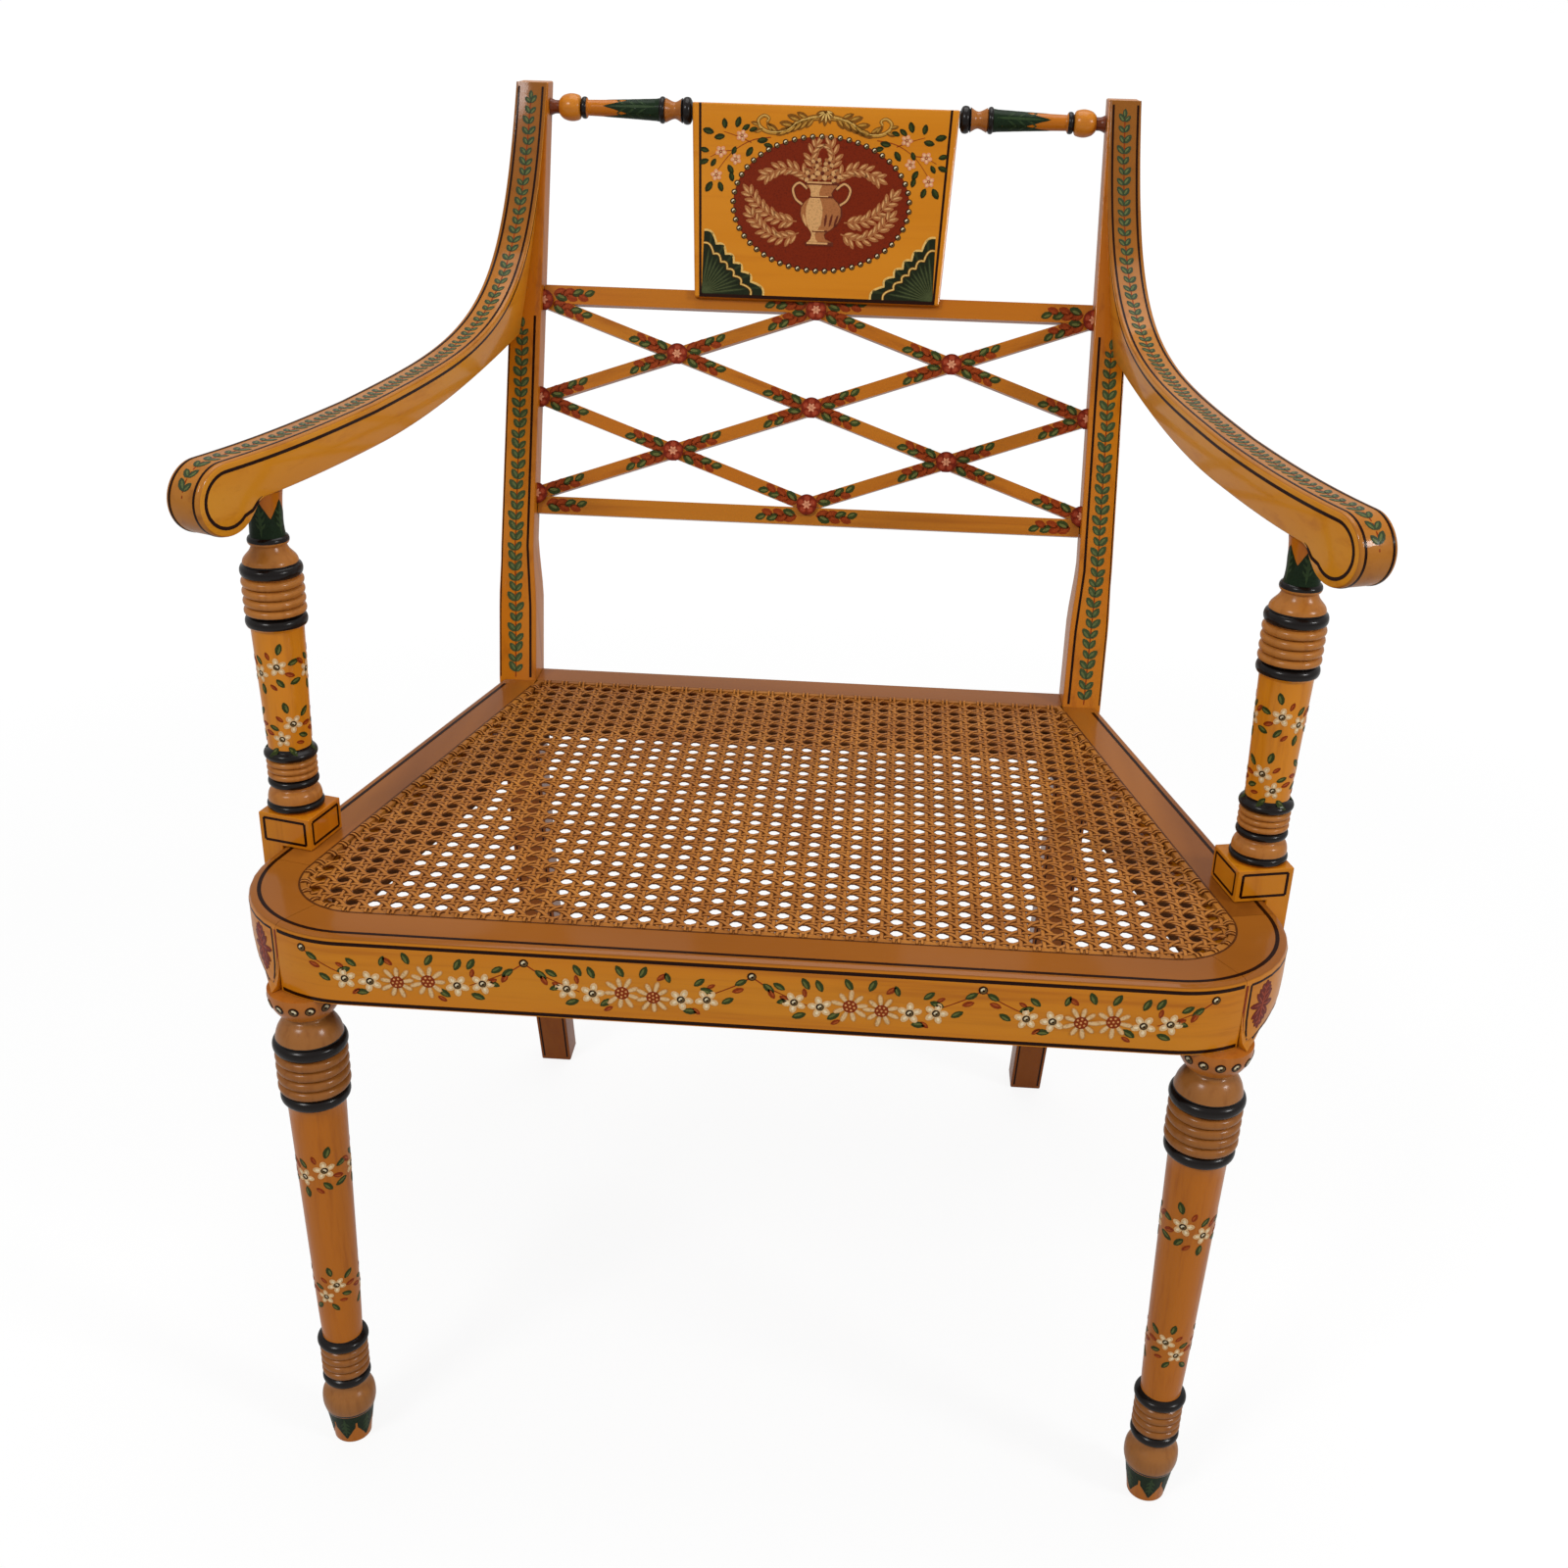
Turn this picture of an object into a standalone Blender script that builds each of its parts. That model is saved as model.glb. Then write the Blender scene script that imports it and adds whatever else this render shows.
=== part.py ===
"""Painted satinwood armchair with a caned seat.

Metres, +Z up. The chair faces -Y and is symmetric about X = 0. "left" is the -X side.
The origin is on the floor, in the middle of the chair's own box.
"""
from math import acos, atan, atan2, cos, pi, radians, sin, sqrt

import bmesh
import bpy
from mathutils import Matrix, Vector

for old in list(bpy.data.objects):
    bpy.data.objects.remove(old, do_unlink=True)

# Fits
GAP = 0.0003                # between faces that are glued or seated
HOLE_END = 0.001            # air left at the bottom of a mortise or a dowel hole

# Overall
OVERALL_HEIGHT = 0.780
OVERALL_DEPTH = 0.5497
SEAT_HEIGHT = 0.378         # top of the seat frame
SEAT_DEPTH = 0.3805         # front of the front rail to the front of the rear posts

# Rear posts
POST_SPREAD_FOOT = 0.404
POST_SPREAD_SEAT = 0.414
POST_SPREAD_TOP = 0.4216    # from the slim part up
POST_FOOT_SETBACK = 0.062   # the foot stands this far behind the post's front at the seat
POST_WIDTH_FOOT = 0.025
POST_WIDTH_SEAT = 0.0275
POST_WIDTH_WAIST = 0.0240
POST_WIDTH_TOP = 0.0225
POST_DEPTH_FOOT = 0.026
POST_DEPTH_SEAT = 0.030
POST_DEPTH_WAIST = 0.0215
POST_DEPTH_TOP = 0.020
POST_SWELL_TOP = 0.050      # the wide part ends this far above the seat
POST_WAIST = 0.092          # and the slim part starts here
POST_EDGE = 0.0012
POST_SWEEP = 1.5            # how late the leg's backward sweep comes on
POST_LEG_STEPS = 6
POST_SWELL_STEPS = 4

# Seat frame
FRONT_STRAIGHT = 0.449      # straight part of the front face
CORNER_RADIUS = 0.069
FILLET_ANGLE = radians(33)  # where the front rail ends on the corner's curve
RAIL_SHOW = 0.028           # wood in front of the cane
LEDGE = 0.012               # ledge under the edge of the cane
SIDE_RAIL_INSET = 0.0025    # the side rail stops this far inside the post's outer edge
SEAT_RAIL_HEIGHT = 0.0425
CORNER_SPRING = 0.022       # height over which the corner draws in to the leg
CORNER_DRAW = 0.80          # share of the way to the leg's collar that it draws in
BACK_SEAT_RAIL_HEIGHT = 0.036
BACK_SEAT_RAIL_SHOW = 0.025
RAIL_EDGE = 0.003
SIDE_TENON_WIDTH = 0.012
SIDE_TENON_HEIGHT = 0.022
SIDE_TENON_DROP = 0.010     # top of the tenon below the top of the rail
SIDE_TENON_LENGTH = 0.010
BACK_TENON_SETBACK = 0.0135 # behind the post's front, clear of the side rail's tenon
BACK_TENON_WIDTH = 0.011
BACK_TENON_HEIGHT = 0.022
BACK_TENON_LENGTH = 0.008
ARC_STEPS = 8

# Cane and its spline, let into a rebate
REBATE_DEPTH = 0.0045
CANE_BEHIND_POST = 0.001    # the cane ends this far behind the fronts of the posts
CANE_BESIDE_POST = 0.0015   # and this far inside their inner faces
CANE_THICKNESS = 0.0030
SPLINE_WIDTH = 0.0034
CANE_MARGIN = 0.006         # whole cane between the spline and the first hole
CANE_PITCH = 0.0127         # half-inch cane
NET_EYES = 2                # rows of cane eyes that one hole of the net stands for
NET_STRAND = 0.0075         # width of the net left between two holes

# Front legs
LEG_SPREAD = 0.505
LEG_SETBACK = 0.0195        # axis behind the front face
LEG_TENON_RADIUS = 0.009
LEG_TENON_LENGTH = 0.030
FOOT_RADIUS = 0.0115
COLLAR_RADIUS = 0.0205
LEG_BULB_RADIUS = 0.0212
TURNED_SEGMENTS = 12

# Arm supports
BLOCK = 0.034
BLOCK_OVERHANG = 0.0145     # the block laps the rail's outer face by this much
BLOCK_SETBACK = 0.032       # block centre behind the front end of the side rail
BLOCK_HEIGHT = 0.0205
BLOCK_TAIL = 0.036          # how far the block's tail hangs down the rail
BLOCK_CHAMFER = 0.003
SUPPORT_SHIFT = 0.0018      # turned axis outside the block's middle
SUPPORT_TENON_RADIUS = 0.007
SUPPORT_TENON_LENGTH = 0.012
SCREW_DROP = 0.022          # below the top of the rail
SCREW_RADIUS = 0.0022
SCREW_HEAD_RADIUS = 0.0042
SCREW_HEAD_LENGTH = 0.003
SCREW_SINK = 0.0045         # head below the inside of the rail
SCREW_BITE = 0.009          # screw in the support's tail

# Arms
ARM_WIDTH = 0.0235
ARM_TOP_WIDTH = 0.0220      # at the top of the post
ARM_HEIGHT = 0.616          # top of the level part
ARM_THICKNESS = 0.0255
ARM_FEATHER = 0.0035        # thickness left at the top of the post
ARM_ROOT = 0.613            # height where the underside meets the post
ARM_SWEEP_DOWN = 0.17       # handles of the top's sweep: down the post
ARM_SWEEP_BACK = (0.18, 0.004)  # and back and up from the level part
ARM_UNDER_FORWARD = (0.075, 0.010)  # handles of the underside: forward and down from the post
ARM_UNDER_BACK = (0.090, 0.0)  # and back from the level part
ARM_SWEEP_STEPS = 16
ARM_SEATED_STEPS = 8        # of those, on the post
ARM_LEVEL_STEPS = 4
ARM_LEVEL_SETBACK = 0.160   # the level part starts this far in front of the posts
ARM_NOSE_RADIUS = 0.0198
ARM_NOSE_REACH = 0.0585     # nose tip in front of the support
ARM_NOSE_SPREAD = 0.3045    # plan half-widths of the arm's centre line
ARM_MID_SPREAD = 0.2602
ARM_BACK_SPREAD = 0.2252
ARM_MID_SETBACK = 0.2195    # their distances behind the front face
ARM_BACK_SETBACK = 0.4195
ARM_NOSE_STEPS = 10
ARM_NOSE_START = radians(90)
ARM_NOSE_TURN = radians(220)  # from the top of the nose round to the end of its scroll
ARM_NOSE_END = radians(-38) # where the scroll's hollow meets the nose again
ARM_NECK = 0.0112           # the underside goes level this far in front of the support
ARM_HOLLOW = (1.0, -0.55)   # handle of the hollow, in nose radii from the nose's middle
ARM_HOLLOW_START = 0.006
ARM_EDGE = 0.0020
ARM_DOWEL_RADIUS = 0.003
ARM_DOWEL_LENGTH = 0.017
ARM_DOWEL_PLACES = (0.30, 0.47)  # shares of the way from the arm's root up to the top of the post
ARM_DOWEL_INSET = 0.0065    # inside the post's outer face

# Back
LOWER_RAIL_PLACE = 0.2873   # where the two cross rails start, as shares of the posts' slope
UPPER_RAIL_PLACE = 0.6418
LOWER_RAIL_HEIGHT = 0.0126
UPPER_RAIL_HEIGHT = 0.0132
CROSS_RAIL_THICKNESS = 0.010
CROSS_RAIL_SETBACK = 0.009  # behind the front of the posts
CROSS_TENON_LENGTH = 0.008
CROSS_TENON_SHOULDER = 0.0025
LATTICE_WIDTH = 0.0095
LATTICE_THICKNESS = 0.008
LATTICE_SHIFT = 0.002       # the bars' lines meet this far above the rails' inner edges
ROUNDEL_RADIUS = 0.0075
ROUNDEL_THICKNESS = 0.0028

# Crest
TABLET_TOP_WIDTH = 0.1914
TABLET_BOTTOM_WIDTH = 0.1765
TABLET_LIP = 0.0056         # how far the tablet hangs over the upper rail
TABLET_DROP = 0.009         # below the tops of the posts, up the slope
TABLET_THICKNESS = 0.016
TABLET_SETBACK = 0.0035
TABLET_EDGE = 0.0012
TABLET_DOWEL_SPREAD = 0.10
TABLET_DOWEL_RADIUS = 0.003
TABLET_DOWEL_LENGTH = 0.018
SPINDLE_DROP = 0.0134       # axis below the tops of the posts, up the slope
SPINDLE_SETBACK = 0.0115
SPINDLE_TENON_RADIUS = 0.0042
SPINDLE_TENON_LENGTH = 0.008
SPINDLE_END_GAP = 0.0006    # at the tablet's sloping side
SPINDLE_SEGMENTS = 10

DOWEL_RADIUS = 0.004
DOWEL_LENGTH = 0.026
DOWEL_HEIGHTS = (0.011, 0.028)  # above the bottom of the seat rails
DOWEL_FRONT_RADIUS = 0.036  # places on the corner's joints, from the corner's centre
DOWEL_SIDE_RADIUS = 0.049

# Colours
SATINWOOD = (0.60, 0.30, 0.065)
TURNED_WOOD = (0.50, 0.23, 0.07)
CANE = (0.55, 0.30, 0.10)
MAROON = (0.30, 0.05, 0.03)
BEECH = (0.55, 0.38, 0.22)
STEEL = (0.45, 0.45, 0.46)

# Values that follow from the sizes above
FRONT_Y = LEG_BULB_RADIUS - LEG_SETBACK - OVERALL_DEPTH / 2  # face of the front rail
POST_Y = FRONT_Y + SEAT_DEPTH
POST_TOP_Y = OVERALL_DEPTH / 2 - POST_DEPTH_TOP
RISE = OVERALL_HEIGHT - SEAT_HEIGHT
SLOPE = (POST_TOP_Y - POST_Y) / RISE
RAKE = atan(SLOPE)
SLOPE_LENGTH = RISE / cos(RAKE)
CORNER = Vector((FRONT_STRAIGHT / 2, FRONT_Y + CORNER_RADIUS))
CANE_RADIUS = CORNER_RADIUS - RAIL_SHOW
INNER_RADIUS = CANE_RADIUS - LEDGE
CANE_BACK = POST_Y + CANE_BEHIND_POST
BACK_SEAT_RAIL_FRONT = CANE_BACK - LEDGE
RAIL_BOTTOM = SEAT_HEIGHT - SEAT_RAIL_HEIGHT
REBATE_FLOOR = SEAT_HEIGHT - REBATE_DEPTH
LEG_AXIS = Vector((LEG_SPREAD / 2, FRONT_Y + LEG_SETBACK))
BLOCK_TOP = SEAT_HEIGHT + BLOCK_HEIGHT
SUPPORT_TOP = ARM_HEIGHT - ARM_THICKNESS - GAP
LOWER_RAIL_BOTTOM = SLOPE_LENGTH * LOWER_RAIL_PLACE  # heights in the back run up the slope
UPPER_RAIL_BOTTOM = SLOPE_LENGTH * UPPER_RAIL_PLACE
UPPER_RAIL_TOP = UPPER_RAIL_BOTTOM + UPPER_RAIL_HEIGHT
TABLET_BOTTOM = UPPER_RAIL_TOP - TABLET_LIP
TABLET_TOP = SLOPE_LENGTH - TABLET_DROP
SPINDLE_HEIGHT = SLOPE_LENGTH - SPINDLE_DROP
LATTICE_LOW = LOWER_RAIL_BOTTOM + LOWER_RAIL_HEIGHT
LATTICE_HIGH = UPPER_RAIL_BOTTOM
LATTICE_MIDDLE = (LATTICE_LOW + LATTICE_HIGH) / 2 + LATTICE_SHIFT
LATTICE_LINES = (LATTICE_LOW + LATTICE_SHIFT, LATTICE_HIGH + LATTICE_SHIFT)
LATTICE_FRONT = CROSS_RAIL_SETBACK
FAR = 0.02                  # cutters and overlong blanks run this far past what they cut

# The back's own frame: local Z runs up the posts, local Y goes back from their fronts
BACK_FRAME = Matrix.Translation((0, POST_Y, SEAT_HEIGHT)) @ Matrix.Rotation(-RAKE, 4, "X")

# Every sub-part hangs on this empty
CHAIR = bpy.data.objects.new("chair", None)
bpy.context.scene.collection.objects.link(CHAIR)


# Mesh helpers

def loft(rings):
    """Skin closed rings of equal count, with flat ends."""
    bm = bmesh.new()
    loops = [[bm.verts.new(p) for p in ring] for ring in rings]
    count = len(rings[0])
    bm.faces.new(loops[0])
    bm.faces.new(loops[-1])
    for low, high in zip(loops, loops[1:]):
        for i in range(count):
            j = (i + 1) % count
            bm.faces.new((low[i], low[j], high[j], high[i]))
    bmesh.ops.recalc_face_normals(bm, faces=bm.faces)
    return bm


def prism(outline, low, high):
    """A plan outline raised from one height to another."""
    return loft([[(x, y, z) for x, y in outline] for z in (low, high)])


def box(low, high):
    """A box between two corners."""
    outline = ((low[0], low[1]), (high[0], low[1]), (high[0], high[1]), (low[0], high[1]))
    return prism(outline, low[2], high[2])


def turned(profile, segments=TURNED_SEGMENTS):
    """Spin pairs of radius and height round the Z axis."""
    bm = bmesh.new()
    verts = [bm.verts.new((r, 0, z)) for r, z in profile]
    edges = [bm.edges.new(pair) for pair in zip(verts, verts[1:])]
    bmesh.ops.spin(bm, geom=verts + edges, axis=(0, 0, 1), cent=(0, 0, 0), steps=segments, angle=2 * pi)
    bmesh.ops.remove_doubles(bm, verts=bm.verts, dist=1e-6)
    bmesh.ops.recalc_face_normals(bm, faces=bm.faces)
    return bm


def rod(radius, start, end):
    """A straight round bar between two points."""
    length = (end - start).length
    bm = turned([(0, 0), (radius, 0), (radius, length), (0, length)], 8)
    turn = Vector((0, 0, 1)).rotation_difference(end - start).to_matrix().to_4x4()
    return moved(bm, Matrix.Translation(start) @ turn)


def moved(bm, matrix):
    bm.transform(matrix)
    return bm


def joined(bodies):
    """Several separate bodies in one mesh."""
    whole = bmesh.new()
    for body in bodies:
        mesh = bpy.data.meshes.new("body")
        body.to_mesh(mesh)
        body.free()
        whole.from_mesh(mesh)
        bpy.data.meshes.remove(mesh)
    return whole


def on_side(bm, sign):
    """Mirror a right-hand body to the left when sign is -1."""
    if sign < 0:
        bm.transform(Matrix.Scale(-1, 4, (1, 0, 0)))
        bmesh.ops.reverse_faces(bm, faces=bm.faces)
    return bm


def clip(bm, point, outward):
    """Cut away what lies beyond a plane, and close the cut."""
    geometry = bm.verts[:] + bm.edges[:] + bm.faces[:]
    bmesh.ops.bisect_plane(bm, geom=geometry, plane_co=point, plane_no=outward, clear_outer=True)
    bmesh.ops.holes_fill(bm, edges=[e for e in bm.edges if e.is_boundary])
    bmesh.ops.recalc_face_normals(bm, faces=bm.faces)


def round_edges(bm, wanted, radius, segments=2):
    """Round the edges whose two ends both pass a test."""
    edges = [e for e in bm.edges if all(wanted(v.co) for v in e.verts)]
    bmesh.ops.bevel(bm, geom=edges, offset=radius, segments=segments, profile=0.5, affect="EDGES")
    return bm


def add_object(name, bm):
    mesh = bpy.data.meshes.new(name)
    bm.to_mesh(mesh)
    bm.free()
    obj = bpy.data.objects.new(name, mesh)
    obj.parent = CHAIR
    bpy.context.scene.collection.objects.link(obj)
    return obj


def node(name, bm, colour, roughness=0.4, metallic=0.0):
    """One sub-part with its own material."""
    obj = add_object(name, bm)
    material = bpy.data.materials.new(name)
    material.use_nodes = True
    shader = material.node_tree.nodes["Principled BSDF"]
    shader.inputs["Base Color"].default_value = (*colour, 1)
    shader.inputs["Roughness"].default_value = roughness
    shader.inputs["Metallic"].default_value = metallic
    obj.data.materials.append(material)
    obj.data.shade_smooth()
    obj.data.set_sharp_from_angle(angle=radians(40))
    return obj


def combine(obj, bodies, operation):
    """Cut bodies out of a sub-part, or join them on."""
    tool = add_object(obj.name + "." + operation.lower(), joined(bodies))
    tool.hide_render = True
    tool.display_type = "WIRE"
    change = obj.modifiers.new(operation.title(), "BOOLEAN")
    change.operation = operation
    change.object = tool


def cut(obj, *bodies):
    combine(obj, bodies, "DIFFERENCE")


def join_on(obj, *bodies):
    combine(obj, bodies, "UNION")


def soften(obj, width):
    """Ease the sharp edges before the joints are cut."""
    ease = obj.modifiers.new("Ease", "BEVEL")
    ease.width = width
    ease.segments = 2
    ease.limit_method = "ANGLE"
    ease.angle_limit = radians(50)


def facet(obj):
    """Split the faces that aren't flat into triangles."""
    split = obj.modifiers.new("Facets", "TRIANGULATE")
    split.quad_method = "SHORTEST_DIAGONAL"


def thicken(obj, thickness):
    """Give a flat sheet its thickness, upwards."""
    wall = obj.modifiers.new("Thickness", "SOLIDIFY")
    wall.thickness = thickness
    wall.offset = 1


# Curves and outlines

def bezier(p0, p1, p2, p3, steps):
    """Points of a cubic curve, with both its ends."""
    points = []
    for k in range(steps + 1):
        t = k / steps
        s = 1 - t
        points.append(s ** 3 * p0 + 3 * s * s * t * p1 + 3 * s * t * t * p2 + t ** 3 * p3)
    return points


def between(value, table):
    """Read a table of height and sizes, straight between its rows."""
    for (z0, *low), (z1, *high) in zip(table, table[1:]):
        if value <= z1:
            break
    t = (value - z0) / (z1 - z0)
    return [a + (b - a) * t for a, b in zip(low, high)]


def polar(angle, radius):
    """A point round the right front corner's centre, from straight ahead towards +X."""
    return CORNER + radius * Vector((sin(angle), -cos(angle)))


def along(angle):
    """The way that a corner outline runs at an angle."""
    return Vector((cos(angle), sin(angle)))


def tangent_angle(point, radius):
    """Where a line from a point at the back leaves the corner's circle."""
    reach = point - CORNER
    return pi / 2 + atan2(reach.y, reach.x) - acos(radius / reach.length)


def arc(start, end, radius):
    step = (end - start) / ARC_STEPS
    return [polar(start + step * k, radius) for k in range(ARC_STEPS + 1)]


def run_to(start, direction, y):
    """Follow a line until it reaches a Y."""
    return start + direction * ((y - start.y) / direction.y)


def mirrored(points):
    return [Vector((-p.x, p.y)) for p in reversed(points)]


# Rear posts

POST_KNEE = SEAT_HEIGHT - BACK_SEAT_RAIL_HEIGHT
POST_SWELL = SEAT_HEIGHT + POST_SWELL_TOP
POST_SLIM = SEAT_HEIGHT + POST_WAIST
POST_TABLE = (
    (0.0, POST_SPREAD_FOOT / 2, POST_WIDTH_FOOT, POST_DEPTH_FOOT),
    (POST_KNEE, POST_SPREAD_SEAT / 2, POST_WIDTH_SEAT, POST_DEPTH_SEAT),
    (SEAT_HEIGHT, POST_SPREAD_SEAT / 2, POST_WIDTH_SEAT, POST_DEPTH_SEAT),
    (POST_SWELL, (POST_SPREAD_SEAT + POST_SPREAD_TOP) / 4, POST_WIDTH_SEAT, POST_DEPTH_SEAT),
    (POST_SLIM, POST_SPREAD_TOP / 2, POST_WIDTH_WAIST, POST_DEPTH_WAIST),
    (OVERALL_HEIGHT, POST_SPREAD_TOP / 2, POST_WIDTH_TOP, POST_DEPTH_TOP),
)


def post_front(z):
    """Y of the post's front face: a straight slope above the seat, a swept leg below."""
    if z >= SEAT_HEIGHT:
        return POST_Y + SLOPE * (z - SEAT_HEIGHT)
    below = max(0.0, (POST_KNEE - z) / POST_KNEE)
    return POST_Y + POST_FOOT_SETBACK * below ** POST_SWEEP


def post_inner(z):
    """X of the post's inner face."""
    centre, width, _ = between(z, POST_TABLE)
    return centre - width / 2


def post_outer(z):
    """X of the post's outer face."""
    centre, width, _ = between(z, POST_TABLE)
    return centre + width / 2


def post_body():
    leg = [POST_KNEE * k / POST_LEG_STEPS for k in range(POST_LEG_STEPS + 1)]
    taper = POST_SLIM - POST_SWELL
    turn = [POST_SWELL + taper * k / POST_SWELL_STEPS for k in range(POST_SWELL_STEPS + 1)]
    rings = []
    for z in leg + [SEAT_HEIGHT] + turn + [OVERALL_HEIGHT]:
        centre, width, depth = between(z, POST_TABLE)
        if POST_SWELL < z < POST_SLIM:
            ease = (1 - cos(pi * (z - POST_SWELL) / taper)) / 2
            width = POST_WIDTH_SEAT + (POST_WIDTH_WAIST - POST_WIDTH_SEAT) * ease
        y = post_front(z)
        x0, x1 = centre - width / 2, centre + width / 2
        rings.append([(x0, y, z), (x1, y, z), (x1, y + depth, z), (x0, y + depth, z)])
    return loft(rings)


# Seat frame

OUTER_REACH = Vector((post_outer(SEAT_HEIGHT) - SIDE_RAIL_INSET, POST_Y))
OUTER_ANGLE = tangent_angle(OUTER_REACH, CORNER_RADIUS)
CANE_REACH = Vector((post_inner(SEAT_HEIGHT) - CANE_BESIDE_POST, CANE_BACK))
CANE_ANGLE = tangent_angle(CANE_REACH, CANE_RADIUS)
SIDE = along(OUTER_ANGLE)
SIDE_OUT = Vector((SIDE.y, -SIDE.x))
SIDE_START = polar(OUTER_ANGLE, CORNER_RADIUS)


def cane_outline(inset):
    """The opening in the top of the seat frame, drawn in by an inset."""
    right = arc(0, CANE_ANGLE, CANE_RADIUS - inset)
    right.append(run_to(right[-1], along(CANE_ANGLE), CANE_BACK - inset))
    return right + mirrored(right)


def rebate():
    return prism(cane_outline(0), REBATE_FLOOR, SEAT_HEIGHT + FAR)


def soften_top(bm, keep):
    """Round a rail's upper outer edge."""
    return round_edges(bm, lambda p: abs(p.z - SEAT_HEIGHT) < GAP and keep(p.xy), RAIL_EDGE)


def front_rail_body():
    outer = arc(0, FILLET_ANGLE, CORNER_RADIUS)
    inner = arc(0, FILLET_ANGLE, INNER_RADIUS)
    outline = mirrored(outer) + outer + inner[::-1] + mirrored(inner[::-1])
    bm = prism(outline, RAIL_BOTTOM, SEAT_HEIGHT)
    middle = FRONT_Y + RAIL_SHOW / 2
    return soften_top(bm, lambda p: p.y < middle)


def corner_block_body():
    """The front corner, drawn in below towards the leg's collar."""
    shift = along(FILLET_ANGLE) * GAP
    outer = arc(FILLET_ANGLE, OUTER_ANGLE, CORNER_RADIUS)
    inner = arc(FILLET_ANGLE, OUTER_ANGLE, INNER_RADIUS)
    outer[0] = outer[0] + shift
    inner[0] = inner[0] + shift
    rings = []
    for drop in (1.0, 0.85, 0.6, 0.3, 0.0):
        pull = CORNER_DRAW * (1 - sqrt(1 - drop * drop))
        z = RAIL_BOTTOM + CORNER_SPRING * (1 - drop)
        drawn = []
        for k, p in enumerate(outer):
            collar = LEG_AXIS + (p - LEG_AXIS).normalized() * COLLAR_RADIUS
            drawn.append(p.lerp(collar, pull * (1 - k / ARC_STEPS)))
        rings.append([(*p, z) for p in drawn + inner[::-1]])
    rings.append([(*p, SEAT_HEIGHT) for p in outer + inner[::-1]])
    return soften_top(loft(rings), lambda p: (p - CORNER).length > CANE_RADIUS)


def side_rail_body():
    """A side rail, notched at the back round the end of the back rail."""
    end = POST_Y - GAP
    notch = Vector((post_inner(SEAT_HEIGHT) + GAP, BACK_SEAT_RAIL_FRONT - GAP))
    outer = SIDE_START + SIDE * GAP
    inner = polar(OUTER_ANGLE, INNER_RADIUS) + SIDE * GAP
    outline = [outer, run_to(outer, SIDE, end), Vector((notch.x, end)), notch,
               run_to(inner, along(CANE_ANGLE), notch.y), inner]
    bm = prism(outline, RAIL_BOTTOM, SEAT_HEIGHT)
    return soften_top(bm, lambda p: abs((p - SIDE_START).dot(SIDE_OUT)) < GAP)


def side_tenon(grow):
    """Tenon of the right side rail in the post's front face."""
    x = POST_SPREAD_SEAT / 2
    half = SIDE_TENON_WIDTH / 2 + grow
    top = SEAT_HEIGHT - SIDE_TENON_DROP
    end = POST_Y + SIDE_TENON_LENGTH + (HOLE_END if grow else 0)
    return box((x - half, POST_Y - SIDE_TENON_LENGTH, top - SIDE_TENON_HEIGHT - grow),
               (x + half, end, top + grow))


def back_seat_rail_body():
    reach = post_inner(SEAT_HEIGHT) - GAP
    back = CANE_BACK + BACK_SEAT_RAIL_SHOW
    low = (-reach, BACK_SEAT_RAIL_FRONT, SEAT_HEIGHT - BACK_SEAT_RAIL_HEIGHT)
    bm = box(low, (reach, back, SEAT_HEIGHT))
    return round_edges(bm, lambda p: p.z > SEAT_HEIGHT - GAP and p.y > back - GAP, RAIL_EDGE / 2)


def back_rebate():
    """The rebate runs right through the back rail."""
    reach = post_inner(SEAT_HEIGHT) + FAR
    return box((-reach, BACK_SEAT_RAIL_FRONT - FAR, REBATE_FLOOR), (reach, CANE_BACK, SEAT_HEIGHT + FAR))


def back_tenon(grow):
    """Right tenon of the back seat rail, in the post's inner face."""
    start = post_inner(SEAT_HEIGHT)
    front = POST_Y + BACK_TENON_SETBACK
    low = SEAT_HEIGHT - BACK_SEAT_RAIL_HEIGHT / 2 - BACK_TENON_HEIGHT / 2
    end = start + BACK_TENON_LENGTH + (HOLE_END if grow else 0)
    return box((start - BACK_TENON_LENGTH, front - grow, low - grow),
               (end, front + BACK_TENON_WIDTH + grow, low + BACK_TENON_HEIGHT + grow))


def corner_dowels(grow):
    """Dowels across the two joints of the right front corner block."""
    half = DOWEL_LENGTH / 2 + (HOLE_END if grow else 0)
    bodies = []
    for angle, radius in ((FILLET_ANGLE, DOWEL_FRONT_RADIUS), (OUTER_ANGLE, DOWEL_SIDE_RADIUS)):
        middle = polar(angle, radius).to_3d()
        way = along(angle).to_3d() * half
        for height in DOWEL_HEIGHTS:
            middle.z = RAIL_BOTTOM + height
            bodies.append(rod(DOWEL_RADIUS + grow, middle - way, middle + way))
    return bodies


# Cane

def half_width(y, inset):
    """Half the width of the cane opening at a Y."""
    radius = CANE_RADIUS - inset
    side = polar(CANE_ANGLE, radius)
    if y >= side.y:
        return run_to(side, along(CANE_ANGLE), y).x
    return CORNER.x + sqrt(max(0.0, radius ** 2 - (CORNER.y - y) ** 2))


CANE_INSET = SPLINE_WIDTH + 2 * GAP


def cane_body():
    low = REBATE_FLOOR + GAP
    return prism(cane_outline(CANE_INSET), low, low + CANE_THICKNESS)


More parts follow.
